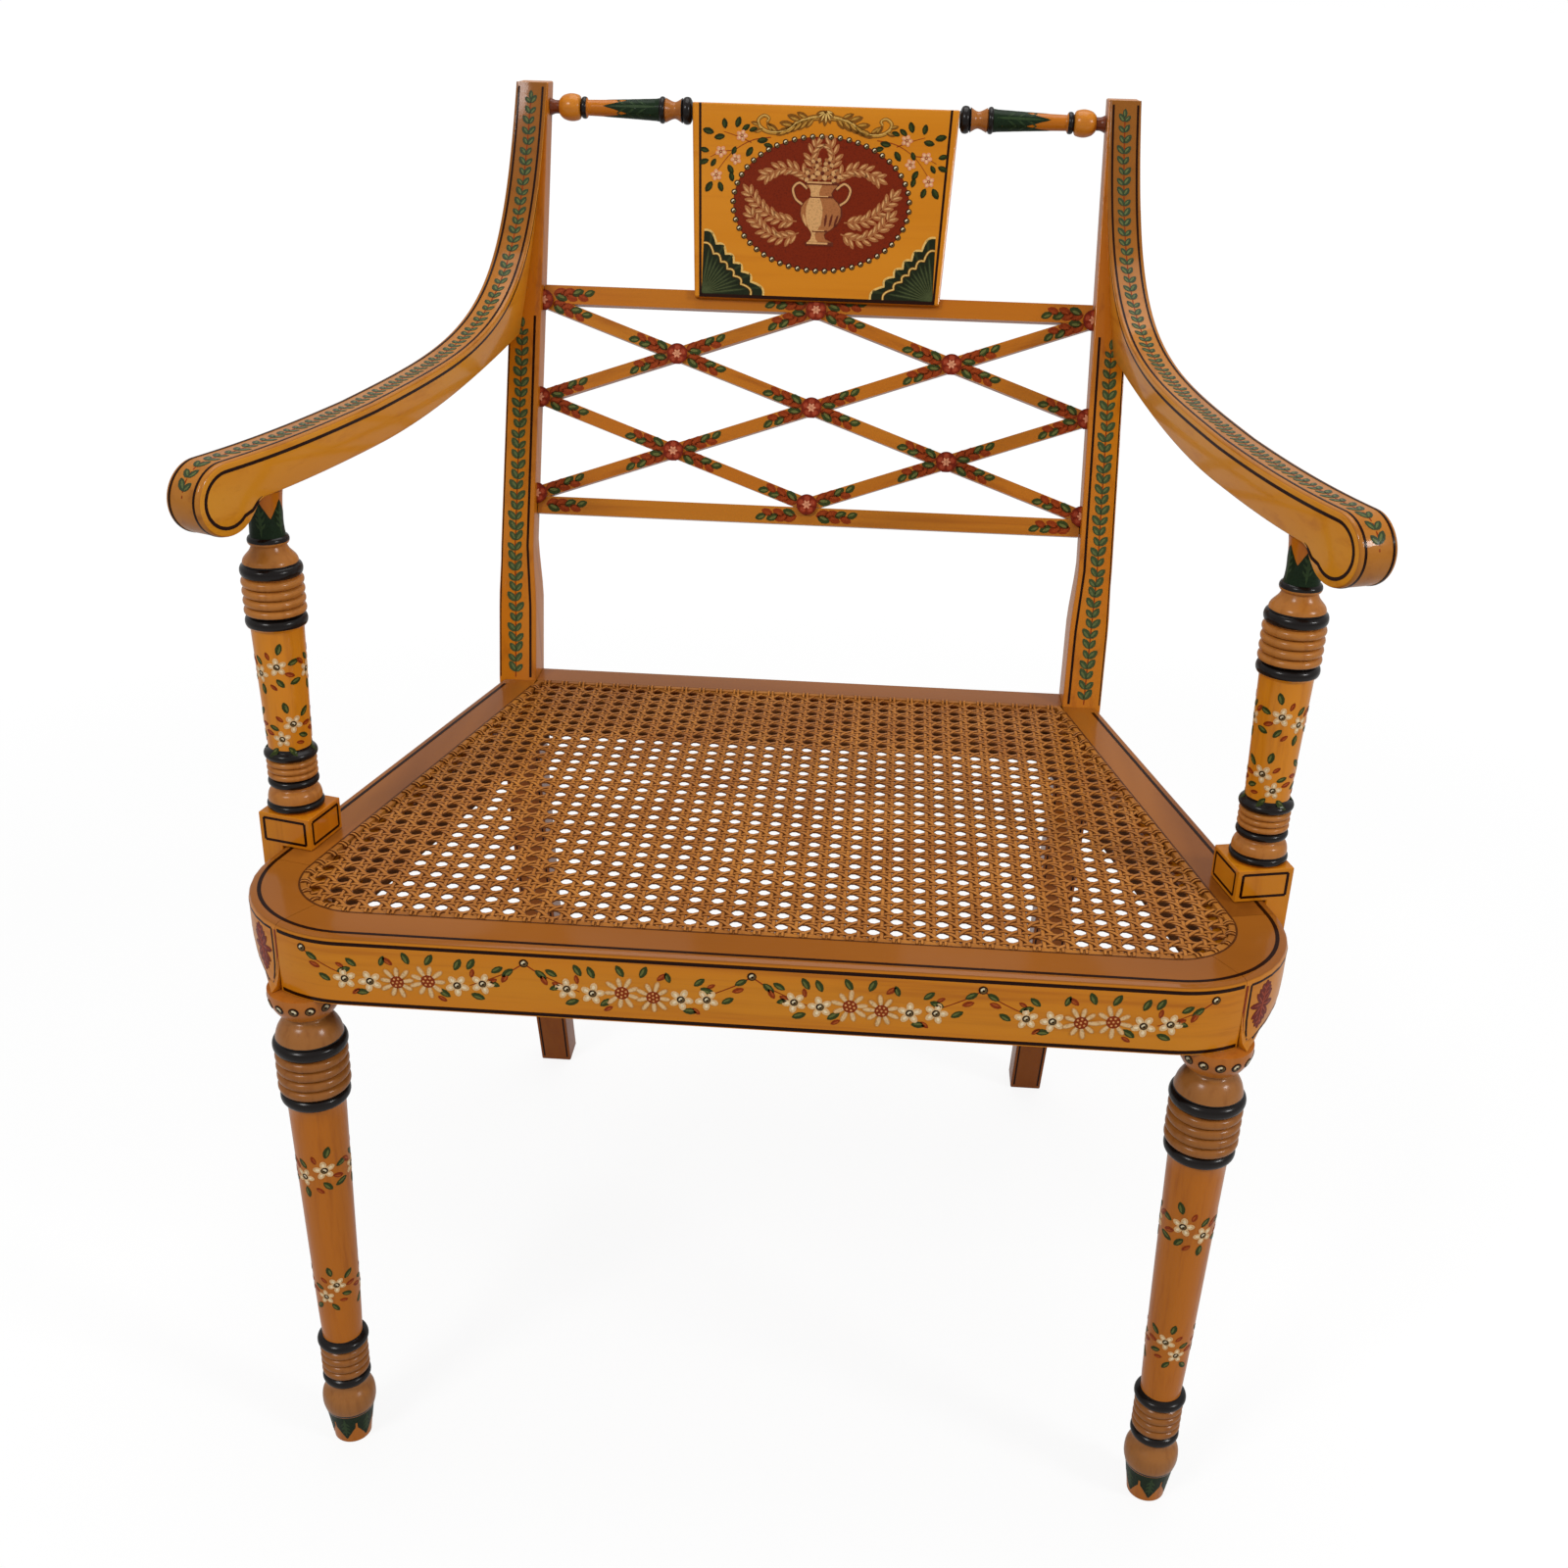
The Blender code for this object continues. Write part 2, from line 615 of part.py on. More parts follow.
def cane_holes():
    """Square holes in rows, each inside the margin of whole cane along the rim."""
    margin = CANE_INSET + CANE_MARGIN
    pitch = CANE_PITCH * NET_EYES
    front = FRONT_Y + RAIL_SHOW + margin
    rows = int((CANE_BACK - margin - front) / pitch)
    size = Vector((pitch - NET_STRAND, pitch - NET_STRAND, FAR))
    holes = []
    for row in range(rows):
        y = front + pitch * (row + 0.5)
        columns = int(min(half_width(y - pitch / 2, margin), half_width(y + pitch / 2, margin)) / pitch)
        for column in range(-columns, columns):
            middle = Vector((pitch * (column + 0.5), y, REBATE_FLOOR))
            holes.append(box(middle - size / 2, middle + size / 2))
    return holes


def spline_body():
    """The strip that wedges the cane's edge, as a flat ring."""
    bm = bmesh.new()
    z = REBATE_FLOOR + GAP
    outer = [bm.verts.new((*p, z)) for p in cane_outline(GAP)]
    inner = [bm.verts.new((*p, z)) for p in cane_outline(GAP + SPLINE_WIDTH)]
    for k in range(len(outer)):
        bm.faces.new((outer[k - 1], outer[k], inner[k], inner[k - 1]))
    return bm


# Turned work. Profiles are pairs of radius and height, rings are middle, radius and half-width, and
# reeds are low end, high end, radius and groove. Names with HUNG give heights below the piece's top.

LEG_FOOT = ((0.0142, 0.0210), (0.0155, 0.0255), (0.0164, 0.0320), (0.0155, 0.0375), (0.0120, 0.0425),
            (0.0120, 0.0455))
LEG_ANKLE_RING = (0.0500, 0.0146, 0.0030)
LEG_ANKLE_REEDS = (0.0538, 0.0752, 0.0146, 0.0012)
LEG_SHAFT_RING = (0.0790, 0.0154, 0.0030)
LEG_SHAFT = ((0.0124, 0.0840), (0.0122, 0.0900))
LEG_HUNG_SHAFT = ((0.0167, 0.0780),)
LEG_HUNG_LOW_RING = (0.0715, 0.0198, 0.0036)
LEG_HUNG_REEDS = (0.0672, 0.0412, 0.0206, 0.0013)
LEG_HUNG_BULB = (0.0368, LEG_BULB_RADIUS, 0.0038)
LEG_HUNG_NECK = ((0.0188, 0.0310), (0.0158, 0.0250), (0.0118, 0.0200), (0.0114, 0.0180), (0.0150, 0.0150),
                 (0.0190, 0.0100), (COLLAR_RADIUS, 0.0050), (COLLAR_RADIUS, 0))

SUPPORT_ROOT = (0.0150, 0.0003)
SUPPORT_BASE_RING = (0.0026, 0.0166, 0.0020)
SUPPORT_ANKLE = ((0.0156, 0.0066), (0.0148, 0.0100), (0.0124, 0.0128), (0.0122, 0.0142))
SUPPORT_ANKLE_RING = (0.0172, 0.0147, 0.0024)
SUPPORT_ANKLE_REEDS = (0.0200, 0.0318, 0.0146, 0.0010)
SUPPORT_SHAFT_RING = (0.0350, 0.0154, 0.0026)
SUPPORT_SHAFT = ((0.0124, 0.0385), (0.0124, 0.0410))
SUPPORT_HUNG_SHAFT = ((0.0149, 0.0795),)
SUPPORT_HUNG_LOW_RING = (0.0748, 0.0173, 0.0032)
SUPPORT_HUNG_REEDS = (0.0712, 0.0488, 0.0174, 0.0012)
SUPPORT_HUNG_HIGH_RING = (0.0450, 0.0173, 0.0032)
SUPPORT_HUNG_NECK = ((0.0150, 0.0400), (0.0110, 0.0345), (0.0090, 0.0315))
SUPPORT_HUNG_NECK_RING = (0.0280, 0.0115, 0.0024)
SUPPORT_HUNG_HEAD = ((0.0093, 0.0250), (0.0090, 0.0180), (0.0098, 0.0060), (0.0104, 0))

SPINDLE_BALL = ((0.0058, 0), (0.0046, 0.0035), (0.0048, 0.0065), (0.0080, 0.0095), (0.0095, 0.0155),
                (0.0080, 0.0210))
SPINDLE_BALL_RING = (0.0240, 0.0074, 0.0020)
SPINDLE_SHAFT = ((0.0052, 0.0270),)
SPINDLE_HUNG_SHAFT = ((0.0075, 0.0250),)
SPINDLE_HUNG_LOW_RING = (0.0220, 0.0092, 0.0020)
SPINDLE_HUNG_SPOOL = ((0.0062, 0.0190), (0.0074, 0.0150), (0.0074, 0.0110), (0.0060, 0.0080))
SPINDLE_HUNG_HIGH_RING = (0.0050, 0.0094, 0.0022)
SPINDLE_HUNG_END = ((0.0060, 0.0024), (0.0060, 0))

REED_FLAT = (0.3, 0.7)      # a reed is full between these shares of its height
RING_FLAT = 0.4             # and a ring within this share of its half-width
RING_DEPTH = 0.8            # a ring stands out by this share of its half-width


def raised(points, base):
    return [(r, base + z) for r, z in points]


def hung(points, top):
    return [(r, top - drop) for r, drop in points]


def raised_ring(row, base):
    middle, radius, half = row
    return ring(base + middle, radius, half)


def hung_ring(row, top):
    middle, radius, half = row
    return ring(top - middle, radius, half)


def raised_reeds(row, base, count):
    low, high, radius, groove = row
    return reeds(base + low, base + high, count, radius, groove)


def hung_reeds(row, top, count):
    low, high, radius, groove = row
    return reeds(top - low, top - high, count, radius, groove)


def reeds(low, high, count, radius, groove):
    """A stack of reeds, as pairs of radius and height from low to high."""
    pitch = (high - low) / count
    points = []
    for k in range(count):
        points.append((radius - groove, low + pitch * k))
        points += [(radius, low + pitch * (k + flat)) for flat in REED_FLAT]
    return points + [(radius - groove, high)]


def ring(middle, radius, half):
    """A half-round ring, as pairs of radius and height."""
    flat, foot = half * RING_FLAT, radius - half * RING_DEPTH
    return [(foot, middle - half), (radius, middle - flat), (radius, middle + flat), (foot, middle + half)]


def leg_profile():
    """Front leg from the floor up: foot, ankle, shaft, reeded band, bulb, collar and tenon."""
    top = RAIL_BOTTOM - GAP
    points = [(0, 0), (FOOT_RADIUS, 0), *LEG_FOOT, *raised_ring(LEG_ANKLE_RING, 0),
              *raised_reeds(LEG_ANKLE_REEDS, 0, 3), *raised_ring(LEG_SHAFT_RING, 0), *LEG_SHAFT,
              *hung(LEG_HUNG_SHAFT, top), *hung_ring(LEG_HUNG_LOW_RING, top),
              *hung_reeds(LEG_HUNG_REEDS, top, 4), *hung_ring(LEG_HUNG_BULB, top), *hung(LEG_HUNG_NECK, top)]
    end = top + LEG_TENON_LENGTH
    return points + [(LEG_TENON_RADIUS, top), (LEG_TENON_RADIUS, end), (0, end)]


def at_leg(bm):
    return moved(bm, Matrix.Translation((*LEG_AXIS, 0)))


def leg_hole():
    radius = LEG_TENON_RADIUS + GAP
    low, high = RAIL_BOTTOM - FAR, RAIL_BOTTOM + LEG_TENON_LENGTH + HOLE_END
    return at_leg(turned([(0, low), (radius, low), (radius, high), (0, high)]))


# Block frame: local X points out of the side rail's face, local Y runs back along it
BLOCK_FRAME = (Matrix.Translation((*(SIDE_START + SIDE * BLOCK_SETBACK), 0))
               @ Matrix.Rotation(OUTER_ANGLE - pi / 2, 4, "Z"))
SUPPORT_AXIS = (BLOCK_FRAME @ Vector((BLOCK_OVERHANG - BLOCK / 2 + SUPPORT_SHIFT, 0, 0))).xy


def support_profile():
    """Arm support from inside its block up to its tenon."""
    base = BLOCK_TOP
    top = SUPPORT_TOP
    radius, proud = SUPPORT_ROOT
    points = [(0, base - BLOCK_HEIGHT / 2), (radius, base - BLOCK_HEIGHT / 2), (radius, base + proud),
              *raised_ring(SUPPORT_BASE_RING, base), *raised(SUPPORT_ANKLE, base),
              *raised_ring(SUPPORT_ANKLE_RING, base), *raised_reeds(SUPPORT_ANKLE_REEDS, base, 2),
              *raised_ring(SUPPORT_SHAFT_RING, base), *raised(SUPPORT_SHAFT, base),
              *hung(SUPPORT_HUNG_SHAFT, top), *hung_ring(SUPPORT_HUNG_LOW_RING, top),
              *hung_reeds(SUPPORT_HUNG_REEDS, top, 4), *hung_ring(SUPPORT_HUNG_HIGH_RING, top),
              *hung(SUPPORT_HUNG_NECK, top), *hung_ring(SUPPORT_HUNG_NECK_RING, top),
              *hung(SUPPORT_HUNG_HEAD, top)]
    end = top + SUPPORT_TENON_LENGTH
    return points + [(SUPPORT_TENON_RADIUS, top), (SUPPORT_TENON_RADIUS, end), (0, end)]


def at_support(bm):
    return moved(bm, Matrix.Translation((*SUPPORT_AXIS, 0)))


def block_body():
    """The square block at the foot of an arm support, notched over the side rail."""
    inner = BLOCK_OVERHANG - BLOCK
    seat = SEAT_HEIGHT + GAP
    tail = SEAT_HEIGHT - BLOCK_TAIL
    profile = ((inner, seat), (GAP, seat), (GAP, tail), (BLOCK_OVERHANG - BLOCK_CHAMFER, tail),
               (BLOCK_OVERHANG, tail + BLOCK_CHAMFER), (BLOCK_OVERHANG, BLOCK_TOP), (inner, BLOCK_TOP))
    bm = loft([[(x, y, z) for x, z in profile] for y in (-BLOCK / 2, BLOCK / 2)])
    return moved(bm, BLOCK_FRAME)


def support_screw(grow):
    """Screw from inside the side rail into the tail of the support's block."""
    inner = INNER_RADIUS - CORNER_RADIUS
    head = inner + SCREW_SINK
    shoulder = head + SCREW_HEAD_LENGTH
    end = GAP + SCREW_BITE + (HOLE_END if grow else 0)
    start = inner - FAR if grow else head
    outer, shank = SCREW_HEAD_RADIUS + grow, SCREW_RADIUS + grow
    profile = [(0, start), (outer, start), (outer, shoulder), (shank, shoulder), (shank, end), (0, end)]
    bm = turned(profile, SPINDLE_SEGMENTS)
    lie = Matrix.Translation((0, 0, SEAT_HEIGHT - SCREW_DROP)) @ Matrix.Rotation(pi / 2, 4, "Y")
    return moved(bm, BLOCK_FRAME @ lie)


# Arms

def arm_plan(y):
    """Half-width of the arm's centre line at a Y: one smooth curve through five spreads."""
    rows = ((SUPPORT_AXIS.y - ARM_NOSE_REACH, ARM_NOSE_SPREAD), (SUPPORT_AXIS.y, SUPPORT_AXIS.x),
            (FRONT_Y + ARM_MID_SETBACK, ARM_MID_SPREAD), (FRONT_Y + ARM_BACK_SETBACK, ARM_BACK_SPREAD),
            (POST_TOP_Y, POST_SPREAD_TOP / 2))
    total = 0.0
    for yi, spread in rows:
        for yj, _ in rows:
            if yj != yi:
                spread *= (y - yj) / (yi - yj)
        total += spread
    return total


def arm_profile():
    """Side view as pairs of points, on the top and on the underside, from post to nose.

    The first number of a point is its Y and the second its Z.
    """
    up = Vector((sin(RAKE), cos(RAKE)))
    level = Vector((POST_Y - ARM_LEVEL_SETBACK, ARM_HEIGHT))
    under_level = level - Vector((0, ARM_THICKNESS))
    tip = Vector((POST_TOP_Y - ARM_FEATHER, OVERALL_HEIGHT))
    crown = Vector((post_front(OVERALL_HEIGHT) - GAP, OVERALL_HEIGHT))
    root = Vector((post_front(ARM_ROOT) - GAP, ARM_ROOT))
    top = bezier(tip, tip - up * ARM_SWEEP_DOWN, level + Vector(ARM_SWEEP_BACK), level, ARM_SWEEP_STEPS)
    seated = [crown.lerp(root, k / ARM_SEATED_STEPS) for k in range(ARM_SEATED_STEPS)]
    under = bezier(root, root - Vector(ARM_UNDER_FORWARD), under_level + Vector(ARM_UNDER_BACK), under_level,
                   ARM_SWEEP_STEPS - ARM_SEATED_STEPS)
    pairs = list(zip(top, seated + under))

    nose = Vector((SUPPORT_AXIS.y - ARM_NOSE_REACH + ARM_NOSE_RADIUS, ARM_HEIGHT - ARM_NOSE_RADIUS))
    brow = Vector((nose.x, ARM_HEIGHT))
    neck = Vector((SUPPORT_AXIS.y - ARM_NECK, under_level.y))
    for k in range(1, ARM_LEVEL_STEPS):
        pairs.append((level.lerp(brow, k / ARM_LEVEL_STEPS), under_level.lerp(neck, k / ARM_LEVEL_STEPS)))
    hollow = bezier(neck, neck - Vector((ARM_HOLLOW_START, 0)), nose + ARM_NOSE_RADIUS * Vector(ARM_HOLLOW),
                    nose + ARM_NOSE_RADIUS * along(ARM_NOSE_END), ARM_NOSE_STEPS)
    for k, point in enumerate(hollow):
        angle = ARM_NOSE_START + ARM_NOSE_TURN * k / ARM_NOSE_STEPS
        pairs.append((nose + ARM_NOSE_RADIUS * along(angle), point))
    return pairs


def arm_body():
    """The side view given its width, square to the arm's own line in plan."""
    rings = []
    for top, under in arm_profile():
        sweeping = top.y > ARM_HEIGHT + GAP
        section = []
        for point, sides in ((top, (-1, 1)), (under, (1, -1))):
            y = top.x if sweeping else point.x
            swing = atan((arm_plan(y - GAP) - arm_plan(y + GAP)) / (2 * GAP))
            ease = min(1.0, max(0.0, (POST_Y - y) / ARM_LEVEL_SETBACK))
            climb = max(0.0, (top.y - ARM_HEIGHT) / (OVERALL_HEIGHT - ARM_HEIGHT))
            width = ARM_WIDTH + (ARM_TOP_WIDTH - ARM_WIDTH) * climb
            across = along(swing * ease) * width / 2
            centre = Vector((arm_plan(y), point.x))
            section += [(*(centre + across * side), point.y) for side in sides]
        rings.append(section)
    return loft(rings)


def arm_dowels(grow):
    """Dowels from the right post into the back of its arm."""
    half = ARM_DOWEL_LENGTH / 2 + (HOLE_END if grow else 0)
    bodies = []
    for share in ARM_DOWEL_PLACES:
        z = ARM_ROOT + (OVERALL_HEIGHT - ARM_ROOT) * share
        middle = Vector((post_outer(z) - ARM_DOWEL_INSET, post_front(z), z))
        way = Vector((0, -cos(RAKE), sin(RAKE))) * half
        bodies.append(rod(ARM_DOWEL_RADIUS + grow, middle - way, middle + way))
    return bodies


def support_mortise():
    radius = SUPPORT_TENON_RADIUS + GAP
    low, high = SUPPORT_TOP - FAR, SUPPORT_TOP + SUPPORT_TENON_LENGTH + HOLE_END
    return at_support(turned([(0, low), (radius, low), (radius, high), (0, high)]))


# Back, in its own frame

def in_back(bm):
    return moved(bm, BACK_FRAME)


def inner_at(height):
    """X of the post's inner face at a height up the slope."""
    return post_inner(SEAT_HEIGHT + height * cos(RAKE))


def rail_reach(bottom, height):
    """Where a cross rail's shoulder meets the post."""
    return min(inner_at(bottom), inner_at(bottom + height)) - 2 * GAP


def cross_rail_body(bottom, height):
    """A rail between the posts, with a tenon at each end."""
    reach = rail_reach(bottom, height)
    back = CROSS_RAIL_SETBACK + CROSS_RAIL_THICKNESS
    bm = box((-reach, CROSS_RAIL_SETBACK, bottom), (reach, back, bottom + height))
    for sign in (-1, 1):
        end = [f for f in bm.faces if f.normal.x * sign > 0.9]
        bmesh.ops.inset_region(bm, faces=end, thickness=CROSS_TENON_SHOULDER, use_even_offset=True)
        tip = bmesh.ops.extrude_discrete_faces(bm, faces=end)["faces"][0]
        bmesh.ops.translate(bm, verts=tip.verts, vec=(sign * CROSS_TENON_LENGTH, 0, 0))
    return in_back(bm)


def cross_mortise(bottom, height):
    """Mortise for the right end of a cross rail."""
    inset = CROSS_TENON_SHOULDER - GAP
    reach = rail_reach(bottom, height)
    back = CROSS_RAIL_SETBACK + CROSS_RAIL_THICKNESS
    return in_back(box((reach - FAR, CROSS_RAIL_SETBACK + inset, bottom + inset),
                       (reach + CROSS_TENON_LENGTH + HOLE_END, back - inset, bottom + height - inset)))


LATTICE_REACH = inner_at(LATTICE_MIDDLE)
LATTICE_ANGLE = atan2(LATTICE_LINES[1] - LATTICE_MIDDLE, LATTICE_REACH)
LATTICE_MID_Y = LATTICE_FRONT + LATTICE_THICKNESS / 2
LATTICE_CENTRE = Vector((0, LATTICE_MIDDLE))


def clip_to_panel(bm):
    """Trim to the space between the cross rails and the posts."""
    clip(bm, (0, 0, LATTICE_HIGH - GAP), (0, 0, 1))
    clip(bm, (0, 0, LATTICE_LOW + GAP), (0, 0, -1))
    return clip_to_posts(bm)


def clip_to_posts(bm):
    lean = (inner_at(LATTICE_HIGH) - inner_at(LATTICE_LOW)) / (LATTICE_HIGH - LATTICE_LOW)
    for sign in (-1, 1):
        clip(bm, (sign * (inner_at(LATTICE_LOW) - 2 * GAP), 0, LATTICE_LOW), (sign, 0, -lean))
    return bm


def strip(centre, angle, length, width, front, back):
    """A straight strip in the back's plane."""
    bm = box((-length / 2, front, -width / 2), (length / 2, back, width / 2))
    turn = Matrix.Translation((centre.x, 0, centre.y)) @ Matrix.Rotation(-angle, 4, "Y")
    return moved(bm, turn)


def bar(centre, angle, length):
    return strip(centre, angle, length, LATTICE_WIDTH, LATTICE_FRONT, LATTICE_FRONT + LATTICE_THICKNESS)


def lap(centre, angle, in_front):
    """Notch for a bar that crosses at an angle, through half the thickness."""
    width = LATTICE_WIDTH + 2 * GAP
    if in_front:
        faces = (LATTICE_FRONT - FAR, LATTICE_MID_Y + GAP / 2)
    else:
        faces = (LATTICE_MID_Y - GAP / 2, LATTICE_FRONT + LATTICE_THICKNESS + FAR)
    return in_back(strip(centre, angle, LATTICE_WIDTH * 6, width, *faces))


def crossing(across, upward):
    """Where a short bar crosses a long one, in one quarter of the lattice."""
    return LATTICE_CENTRE + Vector((across * LATTICE_REACH, upward * (LATTICE_HIGH - LATTICE_LOW) / 2)) / 2


def long_bar(name, rising):
    """A bar from corner to corner, notched for the other long bar and two short ones."""
    angle = LATTICE_ANGLE * rising
    obj = node(name, in_back(clip_to_panel(bar(LATTICE_CENTRE, angle, LATTICE_REACH * 3))), SATINWOOD)
    cut(obj, lap(LATTICE_CENTRE, -angle, rising > 0), *(
        lap(crossing(side, side * rising), -angle, True) for side in (-1, 1)))


def short_bar(name, across, upward):
    """A bar from the middle of a post to the middle of a cross rail."""
    angle = -LATTICE_ANGLE * across * upward
    bm = clip_to_panel(bar(crossing(across, upward), angle, LATTICE_REACH * 2))
    clip(bm, (across * GAP / 2, 0, 0), (-across, 0, 0))
    clip(bm, (0, 0, LATTICE_MIDDLE + upward * GAP / 2), (0, 0, -upward))
    obj = node(name, in_back(bm), SATINWOOD)
    cut(obj, lap(crossing(across, upward), -angle, False))


def roundel(centre):
    """A low boss on the face of the lattice, cut off where it meets a post or the tablet."""
    r, t = ROUNDEL_RADIUS, ROUNDEL_THICKNESS
    bm = turned([(0, 0), (r, 0), (r, t * 0.45), (r * 0.72, t * 0.85), (0, t)], SPINDLE_SEGMENTS)
    face = Matrix.Translation((centre.x, LATTICE_FRONT - GAP, centre.y)) @ Matrix.Rotation(pi / 2, 4, "X")
    moved(bm, face)
    clip(bm, (0, 0, TABLET_BOTTOM - GAP), (0, 0, 1))
    return in_back(clip_to_posts(bm))


def roundel_places():
    places = [LATTICE_CENTRE]
    places += [Vector((0, height)) for height in LATTICE_LINES]
    for side in (-1, 1):
        places.append(Vector((side * LATTICE_REACH, LATTICE_MIDDLE)))
        places += [crossing(side, upward) for upward in (-1, 1)]
        places += [Vector((side * inner_at(height), height)) for height in LATTICE_LINES]
    return places


# Crest

def tablet_half(height):
    """Half the tablet's width at a height up the slope."""
    t = (height - TABLET_BOTTOM) / (TABLET_TOP - TABLET_BOTTOM)
    return (TABLET_BOTTOM_WIDTH + (TABLET_TOP_WIDTH - TABLET_BOTTOM_WIDTH) * t) / 2


def tablet_body():
    low, high = tablet_half(TABLET_BOTTOM), tablet_half(TABLET_TOP)
    rings = []
    for y in (TABLET_SETBACK, TABLET_SETBACK + TABLET_THICKNESS):
        rings.append([(-low, y, TABLET_BOTTOM), (low, y, TABLET_BOTTOM),
                      (high, y, TABLET_TOP), (-high, y, TABLET_TOP)])
    return in_back(loft(rings))


def tablet_rebate():
    """Clears the upper rail behind the tablet's lip."""
    reach = TABLET_TOP_WIDTH
    return in_back(box((-reach, CROSS_RAIL_SETBACK - GAP, TABLET_BOTTOM - FAR),
                       (reach, TABLET_SETBACK + TABLET_THICKNESS + FAR, UPPER_RAIL_TOP + GAP)))


def tablet_dowels(grow):
    half = TABLET_DOWEL_LENGTH / 2 + (HOLE_END if grow else 0)
    y = CROSS_RAIL_SETBACK + CROSS_RAIL_THICKNESS / 2
    bodies = []
    for side in (-1, 1):
        middle = Vector((side * TABLET_DOWEL_SPREAD / 2, y, UPPER_RAIL_TOP))
        way = Vector((0, 0, half))
        bodies.append(in_back(rod(TABLET_DOWEL_RADIUS + grow, middle - way, middle + way)))
    return bodies


SPINDLE_START = inner_at(SPINDLE_HEIGHT) - GAP
SPINDLE_LENGTH = SPINDLE_START - tablet_half(SPINDLE_HEIGHT) - SPINDLE_END_GAP


def spindle_profile():
    """Crest spindle from its tenon in the post to its tenon in the tablet."""
    end = SPINDLE_LENGTH
    tenon, length = SPINDLE_TENON_RADIUS, SPINDLE_TENON_LENGTH
    return [(0, -length), (tenon, -length), (tenon, 0), *SPINDLE_BALL, *raised_ring(SPINDLE_BALL_RING, 0),
            *SPINDLE_SHAFT, *hung(SPINDLE_HUNG_SHAFT, end), *hung_ring(SPINDLE_HUNG_LOW_RING, end),
            *hung(SPINDLE_HUNG_SPOOL, end), *hung_ring(SPINDLE_HUNG_HIGH_RING, end),
            *hung(SPINDLE_HUNG_END, end), (tenon, end), (tenon, end + length), (0, end + length)]


def at_spindle(bm):
    """Lay a body along the right spindle's axis, from the post towards the tablet."""
    start = Matrix.Translation((SPINDLE_START, SPINDLE_SETBACK, SPINDLE_HEIGHT))
    return in_back(moved(bm, start @ Matrix.Rotation(-pi / 2, 4, "Y")))


def spindle_mortise(low, high):
    radius = SPINDLE_TENON_RADIUS + GAP
    return at_spindle(turned([(0, low), (radius, low), (radius, high), (0, high)], SPINDLE_SEGMENTS))


POST_SPINDLE = (-SPINDLE_TENON_LENGTH - HOLE_END, FAR)
TABLET_SPINDLE = (SPINDLE_LENGTH - FAR, SPINDLE_LENGTH + SPINDLE_TENON_LENGTH + HOLE_END)
UPPER_RAIL = (UPPER_RAIL_BOTTOM, UPPER_RAIL_HEIGHT)
LOWER_RAIL = (LOWER_RAIL_BOTTOM, LOWER_RAIL_HEIGHT)

# The two sides
for side, sign in (("left", -1), ("right", 1)):

    def here(bm, sign=sign):
        return on_side(bm, sign)

    post = node("rear_post_" + side, here(post_body()), SATINWOOD)
    soften(post, POST_EDGE)
    cut(post, here(side_tenon(GAP)), here(back_tenon(GAP)), here(cross_mortise(*UPPER_RAIL)),
        here(cross_mortise(*LOWER_RAIL)), here(spindle_mortise(*POST_SPINDLE)),
        *(here(bm) for bm in arm_dowels(GAP)))

    arm = node("arm_" + side, here(arm_body()), SATINWOOD)
    soften(arm, ARM_EDGE)
    cut(arm, here(support_mortise()), *(here(bm) for bm in arm_dowels(GAP)))
    facet(arm)

    support = node("arm_support_" + side, here(at_support(turned(support_profile()))), TURNED_WOOD)
    join_on(support, here(block_body()))
    cut(support, here(support_screw(GAP)))

    node("front_leg_" + side, here(at_leg(turned(leg_profile()))), TURNED_WOOD)

    block = node("front_corner_block_" + side, here(corner_block_body()), SATINWOOD)
    cut(block, rebate())
    cut(block, here(leg_hole()), *(here(bm) for bm in corner_dowels(GAP)))

    rail = node("side_seat_rail_" + side, here(side_rail_body()), SATINWOOD)
    join_on(rail, here(side_tenon(0)))
    cut(rail, rebate())
    cut(rail, here(support_screw(GAP)), *(here(bm) for bm in corner_dowels(GAP)))

    node("crest_spindle_" + side, here(at_spindle(turned(spindle_profile(), SPINDLE_SEGMENTS))), TURNED_WOOD)

both_sides = (-1, 1)

# The seat
front_rail = node("front_seat_rail", front_rail_body(), SATINWOOD)
cut(front_rail, rebate())
cut(front_rail, *(on_side(leg_hole(), s) for s in both_sides),
    *(on_side(bm, s) for s in both_sides for bm in corner_dowels(GAP)))

back_rail = node("back_seat_rail", back_seat_rail_body(), SATINWOOD)
join_on(back_rail, *(on_side(back_tenon(0), s) for s in both_sides))
cut(back_rail, back_rebate())

cane = node("cane_panel", cane_body(), CANE, 0.5)
cut(cane, *cane_holes())
spline = node("cane_spline", spline_body(), CANE, 0.5)
thicken(spline, REBATE_DEPTH - GAP)

# The back
upper = node("upper_back_rail", cross_rail_body(*UPPER_RAIL), SATINWOOD)
cut(upper, *tablet_dowels(GAP))
node("lower_back_rail", cross_rail_body(*LOWER_RAIL), SATINWOOD)
long_bar("lattice_long_bar_rising", 1)
long_bar("lattice_long_bar_falling", -1)
for across, side in ((-1, "left"), (1, "right")):
    short_bar("lattice_short_bar_lower_" + side, across, -1)
    short_bar("lattice_short_bar_upper_" + side, across, 1)
for number, place in enumerate(roundel_places(), 1):
    node(f"lattice_roundel_{number}", roundel(place), MAROON)

tablet = node("crest_tablet", tablet_body(), SATINWOOD)
soften(tablet, TABLET_EDGE)
cut(tablet, tablet_rebate())
cut(tablet, *tablet_dowels(GAP), *(on_side(spindle_mortise(*TABLET_SPINDLE), s) for s in both_sides))

